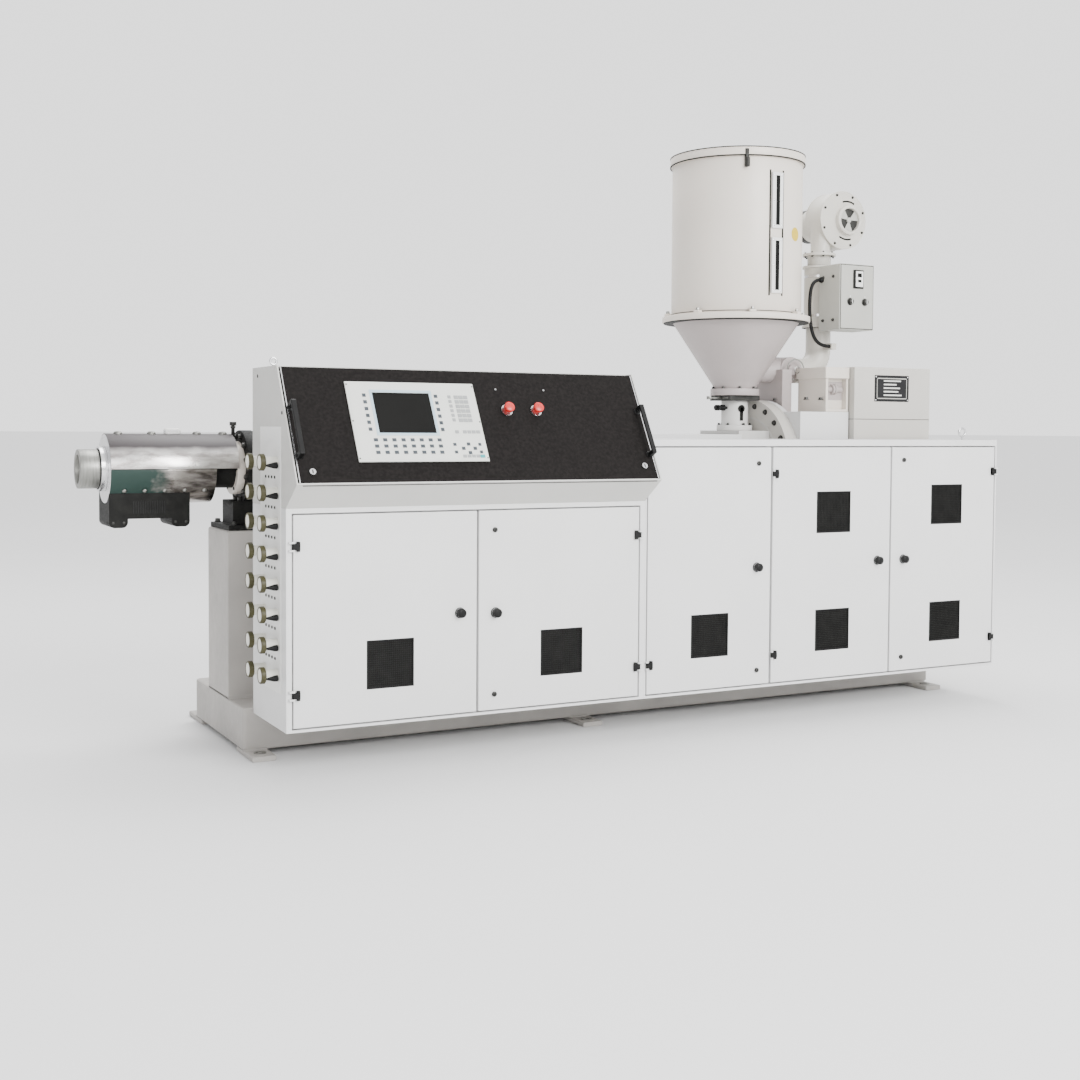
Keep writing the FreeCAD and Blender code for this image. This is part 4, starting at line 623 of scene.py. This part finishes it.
def make_connectors():
    """Rims, contact faces and levers of the heater plugs, and the row marks' studs."""
    start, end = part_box("heater_connectors")
    columns = (start.y + PLUG_RIM_RADIUS, end.y - PLUG_RIM_RADIUS)
    rims, faces, levers, studs, pins, gaps = (Shape() for _ in range(6))
    plate = low("connector_plate")
    outer, inner = PLUG_RIM_RADIUS + 0.0015, PLUG_RIM_RADIUS - 0.0045
    for row in range(PLUG_ROWS):
        z = start.z + PLUG_RIM_RADIUS + row * PLUG_PITCH
        for column, y in enumerate(columns):
            rims.turn((start.x + 0.0095, y, z), -X,
                      [(outer, -0.005), (outer, 0.0085), (PLUG_RIM_RADIUS, 0.0105),
                       (inner, 0.0105), (inner, -0.005)], 40, True)
            faces.rod((start.x + 0.001, y, z), -X, 0.015, 0.0007)
            for place in around((start.x + 0.0012, y, z), "YZ", 0.008, 3, 0.75):
                pins.rod(place, -X, 0.0022, 0.001, 12)
            gaps.tube((start.x + 0.0165, y, z), -X, PLUG_RADIUS - 0.001, PLUG_RIM_RADIUS - 0.0015,
                      0.006, 40)
            if column == 0:
                levers.turn((start.x + 0.015, y - PLUG_RADIUS + 0.004, z - 0.010), X,
                            [(0.003, 0), (0.011, plate.x - start.x - 0.030),
                             (0.012, plate.x - start.x - 0.018)], 20)
        if row:
            for k in range(4):
                studs.turn((plate.x + 0.0004, columns[0] + 0.02 + k * 0.034,
                            z - PLUG_PITCH / 2), -X,
                           [(0.0055, 0), (0.0055, 0.002), (0.003, 0.0035)], 16)
    rims.piece("plug_rims", BRASS, slot="connector_ceramic")
    gaps.piece("plug_gaskets", BLACK, slot="black_plastic")
    faces.piece("plug_faces", BLACK, slot="black_plastic")
    pins.piece("plug_contacts", CHROME, slot="bright_steel")
    levers.piece("plug_levers", BLACK, width=0.002, slot="black_plastic")
    studs.piece("plate_studs", BOLT, slot="bright_steel")


def make_barrel_end():
    """Bolts, clamp bands and small lugs on the heated end of the barrel."""
    axis = middle("nozzle")
    bolts = Shape()
    flange = low("barrel_flange")
    for place in around((flange.x, 0, axis.z), "YZ", 0.121, 12, 0.5):
        bolts.bolt(place, -X, 0.0095, 0.012)
    ring = low("barrel_end_ring")
    for place in around((ring.x, 0, axis.z), "YZ", 0.088, 6):
        bolts.bolt(place, -X, 0.006)
    bolts.piece("barrel_bolts", BOLT, slot="bright_steel")
    start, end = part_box("heater_shell_upper")
    radius = (end.y - start.y) / 2
    collar, lugs = Shape(), Shape()
    length = end.x - start.x
    collar.turn((low("screw_barrel").x + 0.001, 0, axis.z), X,
                [(0.072, 0), (0.082, 0.001), (0.082, 0.022), (0.072, 0.023)], 72, True)
    for share in (0.1, 0.36, 0.72, 0.93):
        lugs.turn((start.x + share * length, -0.012, axis.z + radius - 0.005),
                  Z, [(0.016, 0), (0.016, 0.007), (0.012, 0.012), (0.0, 0.014)], 24)
    collar.piece("barrel_collar", CHROME, slot="bright_steel")
    lugs.piece("heater_lugs", STEEL, slot="barrel_steel")
    at = start.x + 0.53 * length
    terminal = Shape().box((at - 0.030, -0.016, axis.z + radius - 0.008),
                           (at + 0.030, 0.016, axis.z + radius + 0.020))
    terminal.piece("heater_terminal", WHITE, width=0.008, slot="connector_ceramic")
    face = Shape()
    face.turn((start.x, 0, axis.z), -X,
              [(radius - 0.046, -0.002), (radius - 0.046, 0.0015), (radius - 0.004, 0.0015),
               (radius - 0.001, -0.002)], 80, True)
    face.piece("heater_end_face", CHROME, slot="shell_steel")
    foot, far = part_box("heater_shell_lower")
    studs = Shape()
    for k in range(5):
        x = foot.x + 0.05 + k * (far.x - foot.x - 0.09) / 4
        studs.turn((x, -radius * 0.80, axis.z - radius * 0.60), (0, -0.8, -0.6),
                   [(0.009, -0.006), (0.008, 0.003), (0.005, 0.006), (0.0, 0.007)], 20)
    studs.piece("heater_studs", STEEL, slot="bright_steel")
    fan_low, fan_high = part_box("heater_fan")
    slots, screws = Shape(), Shape()
    for k in range(14):
        x = fan_low.x + 0.085 + k * 0.0085
        slots.box((x, fan_low.y - 0.0008, fan_low.z + 0.050),
                  (x + 0.0035, fan_low.y + 0.001, fan_low.z + 0.095))
    for x in (fan_low.x + 0.014, fan_low.x + 0.052, fan_high.x - 0.052, fan_high.x - 0.014):
        screws.turn((x, fan_low.y, fan_low.z + 0.018), -Y,
                    [(0.005, -0.001), (0.005, 0.0015), (0.003, 0.0025)], 16)
    slots.piece("fan_slots", BLACK)
    screws.piece("fan_screws", BOLT, slot="bright_steel")
    foot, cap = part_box("barrel_support_bracket")
    stud = Shape()
    top = high("barrel_pedestal").z + 0.019
    for x in (foot.x + 0.022, high("barrel_pedestal").x - 0.030):
        for y in (foot.y + 0.022, cap.y - 0.022):
            stud.bolt((x, y, top), Z, 0.010, 0.014)
    stud.piece("pedestal_bolts", BOLT, slot="bright_steel")
    weld = Shape()
    column_low, column_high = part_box("barrel_pedestal")
    reach = 0.016
    for k in range(4):
        step = reach * (1 - math.sin(math.pi * (k + 1) / 10)) * (1 - k / 5)
        weld.box((column_low.x + 0.002, column_low.y - step, column_low.z - 0.001),
                 (column_high.x + step, column_high.y + step, column_low.z + 0.003 * (k + 1)))
    weld.piece("pedestal_weld", BED, width=0.0015, slot="base_grey_paint")
    neck = Shape()
    sensor = high("melt_pressure_sensor")
    at = middle("melt_pressure_sensor")
    neck.turn((at.x, at.y, sensor.z - 0.016), -Z,
              [(0.010, 0), (0.010, 0.006), (0.0075, 0.008)], 6)
    neck.piece("sensor_nut", BOLT, slot="bright_steel")
    cover_low, cover_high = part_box("barrel_cover")
    seams, rivets = Shape(), Shape()
    for k in range(1, 4):
        x = cover_low.x + k * (cover_high.x - cover_low.x) / 4
        seams.box((x - 0.001, cover_low.y - 0.0006, cover_low.z + 0.004),
                  (x + 0.001, cover_high.y + 0.0006, cover_high.z + 0.0006))
    for k in range(12):
        x = cover_low.x + 0.05 + k * (cover_high.x - cover_low.x - 0.1) / 11
        rivets.turn((x, cover_high.y - 0.0005, cover_low.z + 0.03), Y,
                    [(0.005, 0), (0.005, 0.0015), (0.002, 0.003)], 14)
    seams.piece("cover_seams", BOLT)
    rivets.piece("cover_screws", CHROME, slot="bright_steel")


# --- Hopper ---
STICKER_HEIGHT = 2.030


def make_hopper():
    """Seals, latch, sight slots, clamps and the sticker on the drum."""
    drum_low, drum_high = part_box("hopper_drum")
    centre = middle("hopper_drum")
    radius = (drum_high.x - drum_low.x) / 2
    lid_low, lid_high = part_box("hopper_lid")
    lid_radius = (lid_high.x - lid_low.x) / 2
    seal = Shape()
    for z in (lid_low.z - 0.001, lid_high.z - 0.0165):
        seal.turn((centre.x, 0, z), Z,
                  [(lid_radius - 0.004, 0), (lid_radius + 0.0012, 0.0003),
                   (lid_radius + 0.0012, 0.0045), (lid_radius - 0.004, 0.005)], 96, True)
    seal.piece("hopper_lid_seals", SOOT, slot="black_plastic")
    latch = Shape()
    aside = 0.14
    latch_x = centre.x - aside
    depth = -math.sqrt(lid_radius ** 2 - aside ** 2)
    latch.box((latch_x - 0.008, depth + 0.010, drum_high.z - 0.050),
              (latch_x + 0.008, depth - 0.004, drum_high.z + 0.028))
    latch.box((latch_x - 0.007, depth + 0.002, drum_high.z - 0.050),
              (latch_x + 0.007, depth - 0.012, drum_high.z - 0.010))
    latch.piece("hopper_latch", BOLT, width=0.002, slot="bright_steel")
    slots, screws = Shape(), Shape()
    sight_low, sight_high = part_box("hopper_sight_glasses")
    height = 0.240
    for foot in (sight_low.z, sight_high.z - height):
        slots.box((centre.x - 0.010, sight_low.y - 0.0012, foot + 0.014),
                  (centre.x + 0.010, sight_low.y + 0.002, foot + height - 0.014))
        for z in (foot + 0.012, foot + height / 2, foot + height - 0.012):
            for x in (centre.x - 0.020, centre.x + 0.020):
                screws.turn((x, sight_low.y, z), -Y, [(0.0035, -0.0005), (0.0035, 0.001),
                                                      (0.002, 0.0018)], 14)
    slots.piece("sight_slots", GLASS, width=0.0008, slot="sight_glass")
    screws.piece("sight_screws", CHROME, slot="bright_steel")
    rail = Shape()
    for side in (-1, 1):
        rail.box((centre.x + side * 0.034 - 0.003, sight_low.y + 0.0085, sight_low.z - 0.010),
                 (centre.x + side * 0.034 + 0.003, sight_low.y + 0.018, sight_high.z + 0.010))
    rail.piece("sight_rails", SOOT, width=0.001)
    dot = Shape()
    angle = math.radians(-65)
    way = Vector((math.cos(angle), math.sin(angle), 0))
    dot.rod(Vector((centre.x, 0, STICKER_HEIGHT)) + way * (radius - 0.0012), way,
            0.030, 0.0018, 40)
    dot.piece("hopper_sticker", YELLOW)
    flange_low, flange_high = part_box("hopper_clamp_flange")
    flange_radius = (flange_high.x - flange_low.x) / 2
    clamps, nuts = Shape(), Shape()
    for k in range(8):
        turn = (Matrix.Translation((centre.x, 0, 0))
                @ Matrix.Rotation(math.pi * (k + 0.5) / 4, 4, "Z"))
        clamps.add(Shape(turn).box((flange_radius - 0.034, -0.014, flange_high.z - 0.001),
                                   (flange_radius - 0.006, 0.014, flange_high.z + 0.012)))
        place = turn @ Vector((flange_radius - 0.020, 0, flange_high.z + 0.012))
        nuts.bolt(place, Z, 0.008, 0.012)
    clamps.piece("hopper_clamps", CREAM, width=0.002, slot="cream_paint")
    nuts.piece("hopper_clamp_bolts", STEEL, slot="bright_steel")
    seam = Shape()
    seam.tube((centre.x, 0, flange_high.z + 0.008), Z, radius - 0.001, radius + 0.001, 0.003, 96)
    seam.tube((centre.x, 0, flange_low.z - 0.003), Z, 0.280, flange_radius - 0.006, 0.004, 96)
    seam.piece("hopper_gasket", SOOT, slot="black_plastic")
    neck_low = low("hopper_cone").z
    bolts = Shape()
    for place in around((centre.x, 0, neck_low + 0.030), "XY", 0.099, 8, 0.5):
        bolts.bolt(place, Z, 0.0065, 0.010)
    bolts.piece("hopper_neck_bolts", BOLT, slot="bright_steel")
    throat_low, throat_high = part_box("hopper_throat")
    window = Shape()
    window.rod((centre.x - 0.005, -0.052, throat_high.z - 0.036), -Y, 0.017, 0.0105)
    window.box((centre.x - 0.013, -0.052, throat_high.z - 0.090),
               (centre.x + 0.003, -0.0625, throat_high.z - 0.030))
    window.piece("throat_window", SOOT, width=0.001, slot="black_plastic")
    knobs = Shape()
    for y in (-0.020, 0.020):
        knobs.turn((centre.x - 0.056, y, throat_high.z - 0.032), -X,
                   [(0.006, 0), (0.006, 0.014), (0.013, 0.015), (0.013, 0.034),
                    (0.009, 0.038)], 24)
    knobs.piece("throat_knobs", BLACK, slot="black_plastic")
    studs = Shape()
    for place in around((centre.x, 0, throat_low.z + 0.025), "XY", 0.070, 6, 0.5):
        studs.bolt(place, Z, 0.006, 0.010)
    studs.piece("throat_bolts", BOLT, slot="bright_steel")


# --- Dryer ---
BLOWER_MOTOR_RADIUS, SCROLL_RADIUS = 0.078, 0.132
INTAKE_SHIFT = 0.020        # the intake lies this far to the right of the blower's axis
INLET_AXIS = (1.033, 1.448)
LEAD_RADIUS = 0.008
LEAD_DEPTH = -0.100
# the heater lead's route, as (X, Z) in its own upright plane
LEAD_ROUTE = [(1.172, 1.862), (1.126, 1.862), (1.102, 1.796), (1.104, 1.660), (1.146, 1.560),
              (1.221, 1.560)]


def make_dryer():
    """Blower's intake shutter, control box's face, duct bands and inlet cap."""
    start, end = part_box("dryer_blower")
    face_y = start.y
    casing_y = face_y + 0.022
    hub = Vector((low("blower_motor").x + BLOWER_MOTOR_RADIUS, 0, middle("blower_motor").z))
    centre = hub + X * INTAKE_SHIFT
    ring = Shape()
    ring.turn((centre.x, face_y + 0.001, centre.z), -Y,
              [(0.0545, 0), (0.0545, 0.003), (0.060, 0.0045), (0.0665, 0.001), (0.0665, 0)],
              64, True)
    ring.piece("intake_ring", SHADED, slot="cream_paint")
    disc = Shape().rod((centre.x, face_y + 0.014, centre.z), -Y, 0.0535, 0.002, 48)
    disc.piece("intake_shadow", BOLT, slot="black_plastic")
    vanes = Shape()
    for k in range(3):
        vanes.tube((centre.x, face_y + 0.010, centre.z), -Y, 0.006, 0.0532, 0.0015, 12,
                   math.radians(30 + 120 * k), math.radians(52))
    vanes.turn((centre.x, face_y + 0.012, centre.z), -Y,
               [(0.012, 0), (0.012, 0.006), (0.007, 0.009), (0.0, 0.010)], 24)
    vanes.piece("intake_shutter", BOXED, slot="cream_paint")
    arcs = Shape()
    for begin in (-28, 150):
        arcs.tube((centre.x, casing_y + 0.001, centre.z), -Y, 0.084, 0.092, 0.0016, 16,
                  math.radians(begin), math.radians(46))
    arcs.piece("casing_slots", SOOT)
    bolts = Shape()
    for place in around((hub.x, casing_y, hub.z), "XZ", 0.120, 8, 20 / 45):
        bolts.bolt(place, -Y, 0.005, 0.006)
    for rise, way in ((0.047, -Z), (0.059, Z)):
        for place in around((middle("air_heater_duct").x, 0, start.z + rise), "XY", 0.066, 8, 0.5):
            bolts.bolt(place, way, 0.0045, 0.007)
    bolts.piece("blower_bolts", BOLT, slot="bright_steel")
    seam, radius = Shape(), SCROLL_RADIUS
    for side in (-1, 1):
        seam.turn((hub.x, side * 0.056, hub.z), Y * side,
                  [(radius - 0.002, -0.004), (radius + 0.002, -0.004), (radius + 0.002, 0.001),
                   (radius - 0.002, 0.0018)], 96, True, math.radians(-75), math.radians(300))
    motor_low, motor_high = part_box("blower_motor")
    for k in range(28):
        turn = Matrix.Translation(hub) @ Matrix.Rotation(-2 * math.pi * k / 28, 4, "Y")
        seam.add(Shape(turn).box((0.070, motor_low.y + 0.012, -0.0015),
                                 (0.0775, motor_high.y - 0.045, 0.0015)))
    seam.piece("blower_ribs", SHADED, slot="cream_paint")
    cowl = Shape()
    cowl.turn((hub.x, motor_high.y - 0.040, hub.z), Y,
              [(0.0775, 0), (0.0795, 0.002), (0.0795, 0.036), (0.070, 0.0395)], 64)
    cowl.piece("blower_cowl", BLACK, slot="black_plastic")
    box_low, box_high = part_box("dryer_control_box")
    front = box_low.y
    door = Shape()
    door.box((box_low.x + 0.006, front + 0.001, box_low.z + 0.006),
             (box_high.x - 0.006, front - 0.003, box_high.z - 0.006))
    door.piece("control_box_door", BOXED, width=0.002, slot="cream_paint")
    seam = Shape().frame(((box_low.x + 0.003, box_low.z + 0.003),
                          (box_low.x + 0.194, box_low.z + 0.293)), (0.003, 0.003),
                         front + 0.001, front - 0.0006)
    seam.piece("control_box_gap", SOOT)
    width = box_high.x - box_low.x
    meter_x, meter_z = box_low.x + 0.52 * width, box_high.z - 0.068
    bezel, window, buttons = Shape(), Shape(), Shape()
    bezel.box((meter_x - 0.029, front - 0.002, meter_z - 0.042),
              (meter_x + 0.029, front - 0.009, meter_z + 0.042))
    bezel.piece("controller_bezel", SOOT, width=0.003, slot="black_plastic")
    window.box((meter_x - 0.018, front - 0.008, meter_z - 0.034),
               (meter_x + 0.024, front - 0.0105, meter_z + 0.036))
    window.piece("controller_face", WHITE, width=0.0015, slot="panel_plastic")
    for x, z, half, rise in ((0.0, 0.018, 0.012, 0.009), (0.0, -0.008, 0.010, 0.006)):
        buttons.box((meter_x + x - half + 0.003, front - 0.010, meter_z + z - rise),
                    (meter_x + x + half + 0.003, front - 0.0115, meter_z + z + rise))
    buttons.piece("controller_displays", GLASS, width=0.001, slot="screen_glass")
    knobs, pointers = Shape(), Shape()
    for x in (box_low.x + 0.29 * width, box_low.x + 0.72 * width):
        z = box_high.z - 0.170
        knobs.turn((x, front - 0.002, z), -Y,
                   [(0.017, 0), (0.017, 0.002), (0.012, 0.003), (0.011, 0.016),
                    (0.008, 0.018)], 32)
        pointers.box((x - 0.002, front - 0.003, z + 0.019), (x + 0.002, front - 0.005, z + 0.028))
        pointers.box((x - 0.0015, front - 0.0195, z - 0.009),
                     (x + 0.0015, front - 0.021, z + 0.009))
    knobs.piece("control_box_knobs", BOLT, slot="panel_plastic")
    pointers.piece("control_box_marks", WHITE)
    screws = Shape()
    for z in (box_low.z + 0.045, box_high.z - 0.055):
        for y in (front + 0.045, front + 0.115):
            screws.bolt((box_low.x, y, z), -X, 0.006, 0.007)
    gland = Shape()
    gland.turn((box_low.x, LEAD_DEPTH, LEAD_ROUTE[0][1]), -X,
               [(0.0085, 0), (0.014, 0), (0.014, 0.007), (0.010, 0.014), (0.0085, 0.014)], 24, True)
    screws.piece("control_box_screws", BOLT, slot="bright_steel")
    gland.piece("lead_gland", BLACK, slot="black_plastic")
    duct_low, duct_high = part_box("air_heater_duct")
    duct = middle("air_heater_duct")
    bands = Shape()
    for z in (duct_low.z + 0.05, duct_high.z - 0.055):
        bands.turn((duct.x, 0, z), Z, [(0.0675, 0), (0.0692, 0.0005), (0.0692, 0.0115),
                                       (0.0675, 0.012)], 64, True)
    bands.piece("duct_bands", CHROME, slot="bright_steel")
    joints = Shape()
    for z in (duct_low.z - 0.0012, duct_high.z - 0.001):
        joints.tube((duct.x, 0, z), Z, 0.060, 0.0745, 0.002)
    joints.piece("duct_gaskets", SOOT)
    snail = Vector((INLET_AXIS[0], low("hot_air_inlet").y, INLET_AXIS[1]))
    cap = Shape()
    cap.turn((snail.x, snail.y + 0.0005, snail.z), -Y,
             [(0.013, 0), (0.017, 0), (0.017, 0.002), (0.013, 0.003)], 32, True)
    cap.tube((snail.x, snail.y + 0.013, snail.z), -Y, 0.044, 0.050, 0.002, 48)
    cap.piece("inlet_cap_rings", STEEL, slot="barrel_steel")


def make_lead():
    """The heater's lead, from the control box round to the elbow's gland."""
    curve = bpy.data.curves.new("heater_lead", "CURVE")
    curve.dimensions = "3D"
    curve.bevel_depth = LEAD_RADIUS
    curve.bevel_resolution = 6
    curve.use_fill_caps = True
    curve.resolution_u = 24
    spline = curve.splines.new("NURBS")
    spline.points.add(len(LEAD_ROUTE) - 1)
    for point, (x, z) in zip(spline.points, LEAD_ROUTE):
        point.co = (x, LEAD_DEPTH, z, 1)
    spline.order_u = 3
    spline.use_endpoint_u = True
    curve.materials.append(RUBBER)
    lead = linked("heater_lead", curve)
    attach(lead, MACHINE)
    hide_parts("dryer_cable")


# --- Drive ---
GUARD_SHEET = 0.007
HOOD_SPLIT = 1.225          # height of the line between the motor's hood and its base
INLET_STAND = 0.950


def make_drive():
    """Bolts, the coupling seen in its guard, vents and the data plate's bars."""
    flange_low, flange_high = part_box("gearbox_flange")
    axis_z = (flange_low.z + flange_high.z) / 2
    bolts = Shape()
    for place in around((flange_low.x, 0, axis_z), "YZ", 0.262, 20, 0.5):
        bolts.bolt(place, -X, 0.010, 0.011)
    case_low, case_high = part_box("gearbox")
    for x in (case_low.x + 0.045, case_low.x + 0.125):
        for y in (case_low.y + 0.018, case_high.y - 0.018):
            bolts.bolt((x, y, case_high.z), Z, 0.010, 0.012)
    bolts.piece("gearbox_bolts", BOLT, slot="bright_steel")
    ring = Shape()
    ring.tube((flange_low.x + 0.0005, 0, axis_z), -X, 0.205, 0.212, 0.002, 96)
    ring.tube((flange_high.x - 0.012, 0, axis_z), X, 0.286, 0.2912, 0.004, 96)
    ring.piece("gearbox_rings", TRIM)
    plug = Shape().bolt((case_low.x + 0.13, case_low.y, case_low.z + 0.10), -Y, 0.016, 0.014)
    plug.piece("gearbox_drain_plug", BOLT, slot="bright_steel")
    guard_low, guard_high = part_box("coupling_guard")
    window_y = guard_low.y + GUARD_SHEET + 0.030
    mid_z = (case_high.z + guard_high.z - 0.050) / 2
    left, right = guard_low.x + GUARD_SHEET + 0.012, guard_high.x - 0.012
    hub = Shape()
    for start, length, radius in ((left + 0.002, 0.034, 0.028), (left + 0.036, 0.012, 0.046),
                                  (left + 0.050, 0.012, 0.046), (left + 0.062, 0.034, 0.028)):
        hub.turn((start, window_y - 0.001, mid_z), X,
                 [(radius * 0.4, 0), (radius * 0.5, 0.001), (radius * 0.5, length - 0.001),
                  (radius * 0.4, length)], 32)
    hub.piece("coupling_halves", WARM, slot="grey_cast")
    back = Shape().box((left, window_y + 0.001, case_high.z + 0.001),
                       (right, window_y - 0.0008, guard_high.z - 0.064))
    back.piece("coupling_shadow", WARM, slot="grey_cast")
    start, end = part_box("motor_housing")
    split = Shape()
    z = HOOD_SPLIT
    split.box((start.x + 0.002, start.y + 0.001, z - 0.0012),
              (end.x - 0.002, start.y - 0.0008, z + 0.0012))
    for x, way in ((start.x, 1), (end.x, -1)):
        split.box((x + way * 0.001, start.y + 0.002, z - 0.0012),
                  (x - way * 0.0008, -0.072, z + 0.0012))
    for k in range(12):
        vent_z = 0.50 + 0.028 * k
        split.box((end.x - 0.001, -0.16, vent_z), (end.x + 0.0010, 0.16, vent_z + 0.010))
    split.piece("hood_lines", BOLT)
    plate_low, plate_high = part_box("rating_plate")
    front = plate_low.y
    bars, inset = Shape(), 0.012
    border = Shape().frame(((plate_low.x + inset, plate_low.z + inset),
                            (plate_high.x - inset, plate_high.z - inset)), (0.004, 0.003),
                           front + 0.0004, front - 0.0004)
    border.piece("data_plate_border", BOXED, slot="plate_black")
    for k, wide in enumerate((0.105, 0.085, 0.095, 0.075, 0.100)):
        z = plate_low.z + 0.026 + k * 0.016
        bars.box((plate_low.x + 0.052, front + 0.0004, z),
                 (plate_low.x + 0.052 + wide, front - 0.0005, z + 0.006))
    bars.piece("data_plate_bars", MEMBRANE, slot="plate_black")
    corners = Shape()
    for x in (plate_low.x + 0.007, plate_high.x - 0.007):
        for z in (plate_low.z + 0.007, plate_high.z - 0.007):
            corners.turn((x, front, z), -Y,
                         [(0.003, -0.0005), (0.003, 0.0008), (0.0015, 0.0014)], 14)
    corners.piece("data_plate_rivets", CHROME, slot="bright_steel")
    feet = Shape()
    for y in (low("hot_air_inlet").y + 0.05, 0.07):
        feet.bolt((INLET_STAND - 0.004, y, case_high.z), Z, 0.008, 0.010)
    roof_low, roof_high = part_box("drive_cabinet")
    lines = Shape().box((roof_low.x + 0.004, roof_low.y + 0.028, roof_high.z - 0.0005),
                        (roof_high.x - 0.004, roof_low.y + 0.030, roof_high.z + 0.0005))
    lines.piece("cabinet_roof_line", BOLT)
    feet.piece("inlet_stand_bolts", BOLT, slot="bright_steel")


BOLT_INSET, MIDDLE_FOOT = 0.044, 1.376      # holes from the feet's ends; from the bed's left end


def make_foot_bolts():
    """Washers round the holes in the feet, and the welds between the feet and the bed."""
    start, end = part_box("floor_feet")
    washers = Shape()
    bed, bed_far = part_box("base_frame")
    columns = (start.x + BOLT_INSET, bed.x + MIDDLE_FOOT, end.x - BOLT_INSET)
    for x in columns:
        for y in (start.y + 0.057, end.y - 0.057):
            washers.tube((x, y, end.z - 0.0002), Z, 0.0125, 0.022, 0.0025, 32)
    washers.piece("foundation_washers", STEEL, slot="bright_steel")
    welds = Shape()
    for x in columns:
        for y, side in ((bed.y, -1), (bed_far.y, 1)):
            for k in range(15):
                step = x - 0.040 + k * 0.0057
                welds.turn((step, y + side * 0.001, end.z - 0.0005), Z,
                           [(0.0055, 0), (0.0045, 0.003), (0.0015, 0.005)], 10)
    welds.piece("foot_welds", BED, slot="base_grey_paint")


make_console()
make_panel()
make_doors()
make_cabinet_backs()
make_connectors()
make_barrel_end()
make_hopper()
make_dryer()
make_lead()
make_drive()
make_foot_bolts()


# --- Floor, light and camera ---
def make_floor():
    """A plain pale floor."""
    finish, tree, shader, places = new_finish("studio_floor")
    patches = spread(tree, noise(tree, places, 0.6, 2.0), 0.3, 0.7, 0, 1)
    near = mixed(tree, patches, (0.72, 0.72, 0.72), (0.74, 0.74, 0.74))
    reach = tree.nodes.new("ShaderNodeVectorMath")
    reach.operation = "LENGTH"
    tree.links.new(places, reach.inputs[0])
    away = spread(tree, reach.outputs["Value"], 2.5, 11.0, 0, 1)
    tree.links.new(mixed(tree, away, near, (0.90, 0.90, 0.90)), shader.inputs["Base Color"])
    shader.inputs["Roughness"].default_value = 0.9
    data = bpy.data.meshes.new("floor")
    half = 300.0
    data.from_pydata([(-half, -half, 0), (half, -half, 0), (half, half, 0), (-half, half, 0)],
                     [], [(0, 1, 2, 3)])
    data.materials.append(finish)
    linked("floor", data)


def add_light(name, place, target, power, size):
    """A soft square light aimed at a point."""
    data = bpy.data.lights.new(name, "AREA")
    data.energy = power
    data.size = size
    light = linked(name, data)
    light.location = place
    light.rotation_euler = (Vector(target) - Vector(place)).to_track_quat("-Z", "Y").to_euler()


def make_light():
    """Even studio light, stronger from the right and the front than from the left."""
    world = bpy.data.worlds.new("surround")
    bpy.context.scene.world = world
    world.use_nodes = True
    tree = world.node_tree
    backdrop = tree.nodes["Background"]
    axes = tree.nodes.new("ShaderNodeSeparateXYZ")
    way = tree.nodes.new("ShaderNodeTexCoord").outputs["Generated"]
    tree.links.new(way, axes.inputs["Vector"])
    side = spread(tree, axes.outputs["X"], -0.5, 0.08, 0, 1)
    tree.links.new(mixed(tree, side, (1.05, 1.05, 1.07), (1.95, 1.95, 1.95)),
                   backdrop.inputs["Color"])
    heart = (0, 0, 1.0)
    add_light("key", (1.5, -8.0, 4.5), heart, 900, 4.0)
    add_light("fill", (-4.5, -7.0, 3.0), heart, 150, 4.0)
    add_light("top", (0.5, 2.0, 7.0), heart, 620, 5.0)


CAMERA_PLACE = Vector((-2.98045, -5.19175, 1.17414))
CAMERA_YAW, CAMERA_PITCH, CAMERA_ROLL = (math.radians(a) for a in (27.45, -2.35, 0.33))


def make_camera():
    """A camera at the operator's left, looking along the machine."""
    data = bpy.data.cameras.new("camera")
    data.lens = 46.58
    data.sensor_width = 36
    data.shift_x = 0.01047
    data.shift_y = -0.0501
    ahead = Vector((math.sin(CAMERA_YAW) * math.cos(CAMERA_PITCH),
                    math.cos(CAMERA_YAW) * math.cos(CAMERA_PITCH), math.sin(CAMERA_PITCH)))
    level = Vector((math.cos(CAMERA_YAW), -math.sin(CAMERA_YAW), 0))
    above = level.cross(ahead)
    right = math.cos(CAMERA_ROLL) * level + math.sin(CAMERA_ROLL) * above
    up = math.cos(CAMERA_ROLL) * above - math.sin(CAMERA_ROLL) * level
    camera = linked("camera", data)
    turned = Matrix((right, up, -ahead)).transposed().to_4x4()
    camera.matrix_world = Matrix.Translation(CAMERA_PLACE) @ turned
    bpy.context.scene.camera = camera


make_floor()
make_light()
make_camera()
